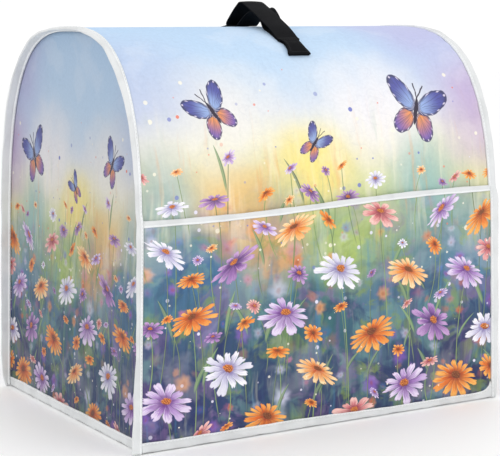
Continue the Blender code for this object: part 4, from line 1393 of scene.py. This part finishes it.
class COVER_OT_bindings(bpy.types.Operator):
    """Wrap the arched seams and the hem in white tape"""
    bl_idname = "cover.bindings"
    bl_label = "Seam and Hem Tape"

    SEAM_STEPS = 420
    SIDE_STEPS = 70
    HEM_FOLD = 0.0018        # height of the hem tape's stitched fold
    CORNER_EASE = 0.012      # share of a side over which the hem's unevenness fades to a corner
    STITCHED_ROW = 3
    POCKET_EASE = 0.012      # height over which a seam tape climbs onto the pocket

    def execute(self, context):
        for side in (-1, 1):
            self.build_seam(side)
        self.build_hem()
        return {"FINISHED"}

    def build_seam(self, side):
        outline = Outline()
        s = sizes()
        word = "left" if side < 0 else "right"

        def section_at(distance):
            y, z, out_y, out_z = outline.at(distance)
            cover = 0.0
            if y < 0:
                cover = min(max((s.pocket_left + self.POCKET_EASE - z) / self.POCKET_EASE, 0.0), 1.0)
                cover = cover * cover * (3 - 2 * cover)
            wave = sin(distance * 71.0 + side) + 0.6 * sin(distance * 117.0 + 2.0 * side)
            sag = 0.00030 * wave + 0.00020 * sin(distance * 210.0)
            width = flange_width(side, distance)
            section = seam_tape_section(TAPE_UNDER, TAPE_OVER + (GAP + POCKET_LAYER) * cover, width,
                                        TIP_THICK, sag)
            seam = half_width(z) + GAP
            return [
                Vector((side * (seam + along), y + out_y * out + s.middle_y, z + out_z * out))
                for along, out in section
            ], Vector((0, out_y, out_z))

        start = FLOOR_GAP
        span = outline.length - 2 * start
        sections = [section_at(start + span * i / self.SEAM_STEPS)[0]
                    for i in range(self.SEAM_STEPS + 1)]
        tape = rolled_strip(f"seam_tape_{word}", sections, tape_materials(),
                            SEAM_FOLDS)
        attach(tape, "root")
        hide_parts(f"seam_binding_{word}")

        for face_word, column, sign in (("outer", 2, 1), ("inner", -3, -1)):
            stitches = []
            count = int((span - 0.01) / s.stitch)
            for k in range(count):
                distance = start + 0.005 + (k + 0.5) * s.stitch
                here, out = section_at(distance)
                ahead, _ = section_at(distance + 0.001)
                along = ahead[column] - here[column]
                along = along.normalized() + Vector((side * 0.22 * (-1) ** k, 0, 0))
                stitches.append((here[column] + out * sign * STITCH_LIFT, along, out * sign))
            stitch_row(f"seam_stitches_{word}_{face_word}", stitches, TAPE_STITCH,
                       thread_material())

    def hem_path(self):
        """(outer x, outer y, inner x, inner y, travel) round the hem, closer near the corners."""
        half = half_width(0.0)
        inner_half = half - TAPE_UNDER - TAPE_OVER
        front_outer = -(wall_depth(-1, 0.0) + GAP + POCKET_LAYER + TAPE_OVER)
        back_outer = wall_depth(1, 0.0) + TAPE_OVER
        front_inner = -(wall_depth(-1, 0.0) - TAPE_UNDER)
        back_inner = wall_depth(1, 0.0) - TAPE_UNDER
        corners = (
            (-half, front_outer, -inner_half, front_inner), (half, front_outer, inner_half, front_inner),
            (half, back_outer, inner_half, back_inner), (-half, back_outer, -inner_half, back_inner),
        )
        path = []
        for side, steps in enumerate((2 * self.SIDE_STEPS, self.SIDE_STEPS) * 2):
            start, end = corners[side], corners[(side + 1) % 4]
            for i in range(steps):
                share = (1 + spread(2 * i / steps - 1, 0.6)) / 2
                path.append(tuple(a + (b - a) * share for a, b in zip(start, end)) + (side + share,))
        return path

    def build_hem(self):
        s = sizes()
        fold = self.HEM_FOLD
        def section_at(place):
            outer_x, outer_y, inner_x, inner_y, travel = place
            tall = hem_height(travel)
            wave = sin(travel * 46.0) + 0.7 * sin(travel * 83.0 + 1.0) + 0.5 * sin(travel * 147.0)
            lift = 0.00022 * (wave + 2.2)
            billow = 0.00035 * sin(travel * 31.0 + 0.6) + 0.00022 * sin(travel * 74.0)
            span = hypot(outer_x - inner_x, outer_y - inner_y)
            fade = min(min(travel % 1, 1 - travel % 1) / self.CORNER_EASE, 1.0)
            proud = FOLD_STAND / span * fade
            out = billow / span * fade
            # Height, and how far out: 1 is the outer face and 0 the inner face
            rows = (
                (tall, 0.50), (tall - 0.0001, 0.96), (tall - 0.0005, 1.0 + proud * 0.8),
                (tall - fold * 0.6, 1.0 + proud), (tall - fold, 1.0 + proud * 0.8),
                (tall - fold - 0.0003, 1.0 - proud * 0.2), (tall - fold - 0.0010, 1.0 + out * 0.3),
                (tall * 0.45, 1.0 + out), (0.0022 + lift, 1.0 + out * 0.6), (0.0007 + lift, 0.93),
                (lift, 0.75), (lift, 0.30), (0.0008 + lift, 0.04), (tall * 0.5, 0.0),
                (tall - 0.0006, 0.02),
            )
            return [
                Vector((inner_x + (outer_x - inner_x) * reach,
                        inner_y + (outer_y - inner_y) * reach + s.middle_y, height))
                for height, reach in rows
            ]

        sections = [section_at(place) for place in self.hem_path()]
        tape = rolled_strip("hem_binding_tape", sections, tape_materials(),
                            HEM_FOLDS, closed=True)
        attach(tape, "root")
        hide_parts("hem_binding")

        stitches = []
        for middle, along in stitch_places([section[self.STITCHED_ROW] for section in sections], s.stitch):
            out = along.cross(Vector((0, 0, 1))).normalized()
            along = along.normalized() + Vector((0, 0, 0.10))
            stitches.append((middle + out * STITCH_LIFT, along, out))
        stitch_row("hem_stitches", stitches, TAPE_STITCH, thread_material())


def smooth_course(points, steps):
    """Even steps along a smooth curve through the strap's points."""
    course = []
    last = len(points) - 1
    for step in range(steps + 1):
        place = step / steps * last
        i = min(int(place), last - 1)
        t = place - i
        before, start = points[max(i - 1, 0)], points[i]
        end, after = points[i + 1], points[min(i + 2, last)]
        course.append(StrapPoint(*(
            0.5 * (2 * b + (c - a) * t + (2 * a - 5 * b + 4 * c - d) * t * t
                   + (3 * b - a - 3 * c + d) * t ** 3)
            for a, b, c, d in zip(before, start, end, after)
        )))
    return course


class COVER_OT_handle(bpy.types.Operator):
    """Sew on the two plies of the webbing handle"""
    bl_idname = "cover.handle"
    bl_label = "Handle"

    COLUMNS = 16
    ROWS = 260
    WEBBING = 0.0012
    STITCH = 0.0030
    CURL_FROM = 0.3
    SEWN_SIDE = 0.78         # long sides of a sewn rectangle, as a share of the half width
    SEWN_ENDS = ((-0.1035, -0.0872), (0.0872, 0.1018))

    def execute(self, context):
        self.outline = Outline()
        upper = smooth_course(UPPER_PLY, self.ROWS)
        self.build_ply("handle_webbing", "handle_strap", upper)
        self.build_ply("handle_under_webbing", "handle_under_strap", smooth_course(UNDER_PLY, self.ROWS))
        self.build_stitches(upper)
        return {"FINISHED"}

    def strap_place(self, point, share, lift=0.0):
        """A place on a ply's inner face, or off it; share runs from -1 to 1 across the strap."""
        y, z, out_y, out_z = self.outline.at(self.outline.depth_distance(point.depth))
        across = point.aside + share * point.broad * STRAP_WIDTH / 2
        cup = 0.0006 * (1 - share * share) * min(max(point.lift, 0.0) / 0.006, 1.0)
        curl = point.curl * (max(share - self.CURL_FROM, 0.0) / (1 - self.CURL_FROM)) ** 2
        rise = point.lift + cup + curl + lift
        return Vector((across, y + out_y * rise + sizes().middle_y, z + out_z * rise))

    def build_stitches(self, course):
        """A sewn rectangle on each foot of the strap."""
        stitches = []
        for start, end in self.SEWN_ENDS:
            foot = [point for point in course if start <= point.depth <= end]
            side = self.SEWN_SIDE
            loop = [(point, side) for point in foot]
            loop += [(foot[-1], side - 2 * side * k / 12) for k in range(1, 12)]
            loop += [(point, -side) for point in reversed(foot)]
            loop += [(foot[0], -side + 2 * side * k / 12) for k in range(1, 12)]
            corners = [self.strap_place(point, share, self.WEBBING) for point, share in loop]
            for middle, along in stitch_places(corners, self.STITCH):
                depth = middle.y - sizes().middle_y
                _, _, out_y, out_z = self.outline.at(self.outline.depth_distance(depth))
                stitches.append((middle, along, Vector((0, out_y, out_z))))
        stitch_row("handle_stitches", stitches, HANDLE_STITCH, dark_thread_material())

    def build_ply(self, name, node, course):
        middle = [self.strap_place(point, 0.0) for point in course]
        travel = [0.0]
        for before, after in zip(middle, middle[1:]):
            travel.append(travel[-1] + (after - before).length)

        def place(i, j):
            return self.strap_place(course[j], 2 * i / self.COLUMNS - 1)

        bm = shaped_grid(self.COLUMNS, self.ROWS, place,
                         lambda i, j: ((i / self.COLUMNS - 0.5) * STRAP_WIDTH, travel[j]))
        face_away(bm, Vector((0, 0, 0)))
        ply = finish_mesh(bm, name, [webbing_material()])
        solid = ply.modifiers.new("webbing", "SOLIDIFY")
        solid.thickness = self.WEBBING
        solid.offset = 1.0
        edge = ply.modifiers.new("selvedge", "BEVEL")
        edge.width = 0.0004
        edge.segments = 2
        edge.limit_method = "ANGLE"
        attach(ply, "root")
        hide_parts(node)


class COVER_OT_stage(bpy.types.Operator):
    """Set the floor, the soft light and the camera"""
    bl_idname = "cover.stage"
    bl_label = "Stage"

    CAMERA_AZIMUTH = -31.15
    CAMERA_RISE = 7.87
    CAMERA_DISTANCE = 1.672
    CAMERA_LENS = 111.9
    LOOK_AT = (0.0063, 0.00285, 0.1786)
    ROOM_LIGHT = 1.04
    LAMPS = (                # name, place, size and power
        ("key", (1.0, -1.9, 2.0), 1.6, 5.5),
        ("fill", (-1.9, -1.8, 1.0), 1.8, 7.5),
        ("top", (0.2, 0.5, 2.6), 2.2, 3.0),
    )
    FLOOR_SIZE = 14.0
    FLOOR_DROP = 0.0002      # just under the hem, so that the two never share a plane

    def execute(self, context):
        context.scene.view_settings.view_transform = "Standard"
        self.add_floor()
        self.add_lights()
        self.add_camera()
        return {"FINISHED"}

    def add_floor(self):
        bpy.ops.mesh.primitive_plane_add(size=self.FLOOR_SIZE, location=(0, 0, -self.FLOOR_DROP))
        floor = bpy.context.object
        floor.name = "floor"
        made, g, shader = plain_material("pale_floor", colours().floor, 0.6)
        mottle = g.noise(g.node("ShaderNodeTexCoord").outputs["Object"], 3.0, 2.0)["Fac"]
        base = (*colours().floor, 1.0)
        shade = tuple(v * 0.99 for v in colours().floor) + (1.0,)
        g.feed(shader.inputs["Base Color"], g.mix(mottle, base, shade))
        floor.data.materials.append(made)
        floor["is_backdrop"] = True

    def add_lights(self):
        world = bpy.data.worlds.new("studio")
        world.use_nodes = True
        background = world.node_tree.nodes["Background"]
        background.inputs["Color"].default_value = (1.0, 1.0, 1.0, 1.0)
        background.inputs["Strength"].default_value = self.ROOM_LIGHT
        bpy.context.scene.world = world
        for name, place, size, power in self.LAMPS:
            light = bpy.data.lights.new(name, "AREA")
            light.size = size
            light.energy = power
            lamp = bpy.data.objects.new(name, light)
            lamp.location = place
            aim = Vector((0, 0, sizes().height / 2)) - lamp.location
            lamp.rotation_euler = aim.to_track_quat("-Z", "Y").to_euler()
            bpy.context.scene.collection.objects.link(lamp)

    def add_camera(self):
        azimuth, rise = radians(self.CAMERA_AZIMUTH), radians(self.CAMERA_RISE)
        back = Vector((sin(azimuth) * cos(rise), -cos(azimuth) * cos(rise), sin(rise)))
        data = bpy.data.cameras.new("camera")
        data.lens = self.CAMERA_LENS
        camera = bpy.data.objects.new("camera", data)
        camera.location = Vector(self.LOOK_AT) + back * self.CAMERA_DISTANCE
        camera.rotation_euler = (-back).to_track_quat("-Z", "Y").to_euler()
        bpy.context.scene.collection.objects.link(camera)
        bpy.context.scene.camera = camera


OPERATORS = (
    COVER_OT_stage,
    COVER_OT_bindings,
    COVER_OT_main_panel,
    COVER_OT_end_panels,
    COVER_OT_pocket,
    COVER_OT_handle,
)


class COVER_PT_panel(bpy.types.Panel):
    """Lists the steps that sew the cover"""
    bl_idname = "COVER_PT_panel"
    bl_label = "Mixer Cover"
    bl_space_type = "VIEW_3D"
    bl_region_type = "UI"
    bl_category = "Mixer Cover"

    def draw(self, context):
        for operator in OPERATORS:
            self.layout.operator(operator.bl_idname)
        for group in (context.scene.cover_sizes, context.scene.cover_colours):
            column = self.layout.column()
            for key in group.__annotations__:
                column.prop(group, key)


CLASSES = (CoverSizes, CoverColours, *OPERATORS, COVER_PT_panel)


def register():
    for one in CLASSES:
        bpy.utils.register_class(one)
    bpy.types.Scene.cover_sizes = PointerProperty(type=CoverSizes)
    bpy.types.Scene.cover_colours = PointerProperty(type=CoverColours)


def unregister():
    del bpy.types.Scene.cover_colours
    del bpy.types.Scene.cover_sizes
    for one in reversed(CLASSES):
        bpy.utils.unregister_class(one)


def main():
    register()
    bpy.ops.cover.stage()
    bpy.ops.cover.bindings()
    bpy.ops.cover.main_panel()
    bpy.ops.cover.end_panels()
    bpy.ops.cover.pocket()
    bpy.ops.cover.handle()
    boxes = {"solids": SOLIDS_BOX, "visual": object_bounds()}
    {name: [list(low), list(high)] for name, (low, high) in boxes.items()}


if __name__ == "__main__":
    main()
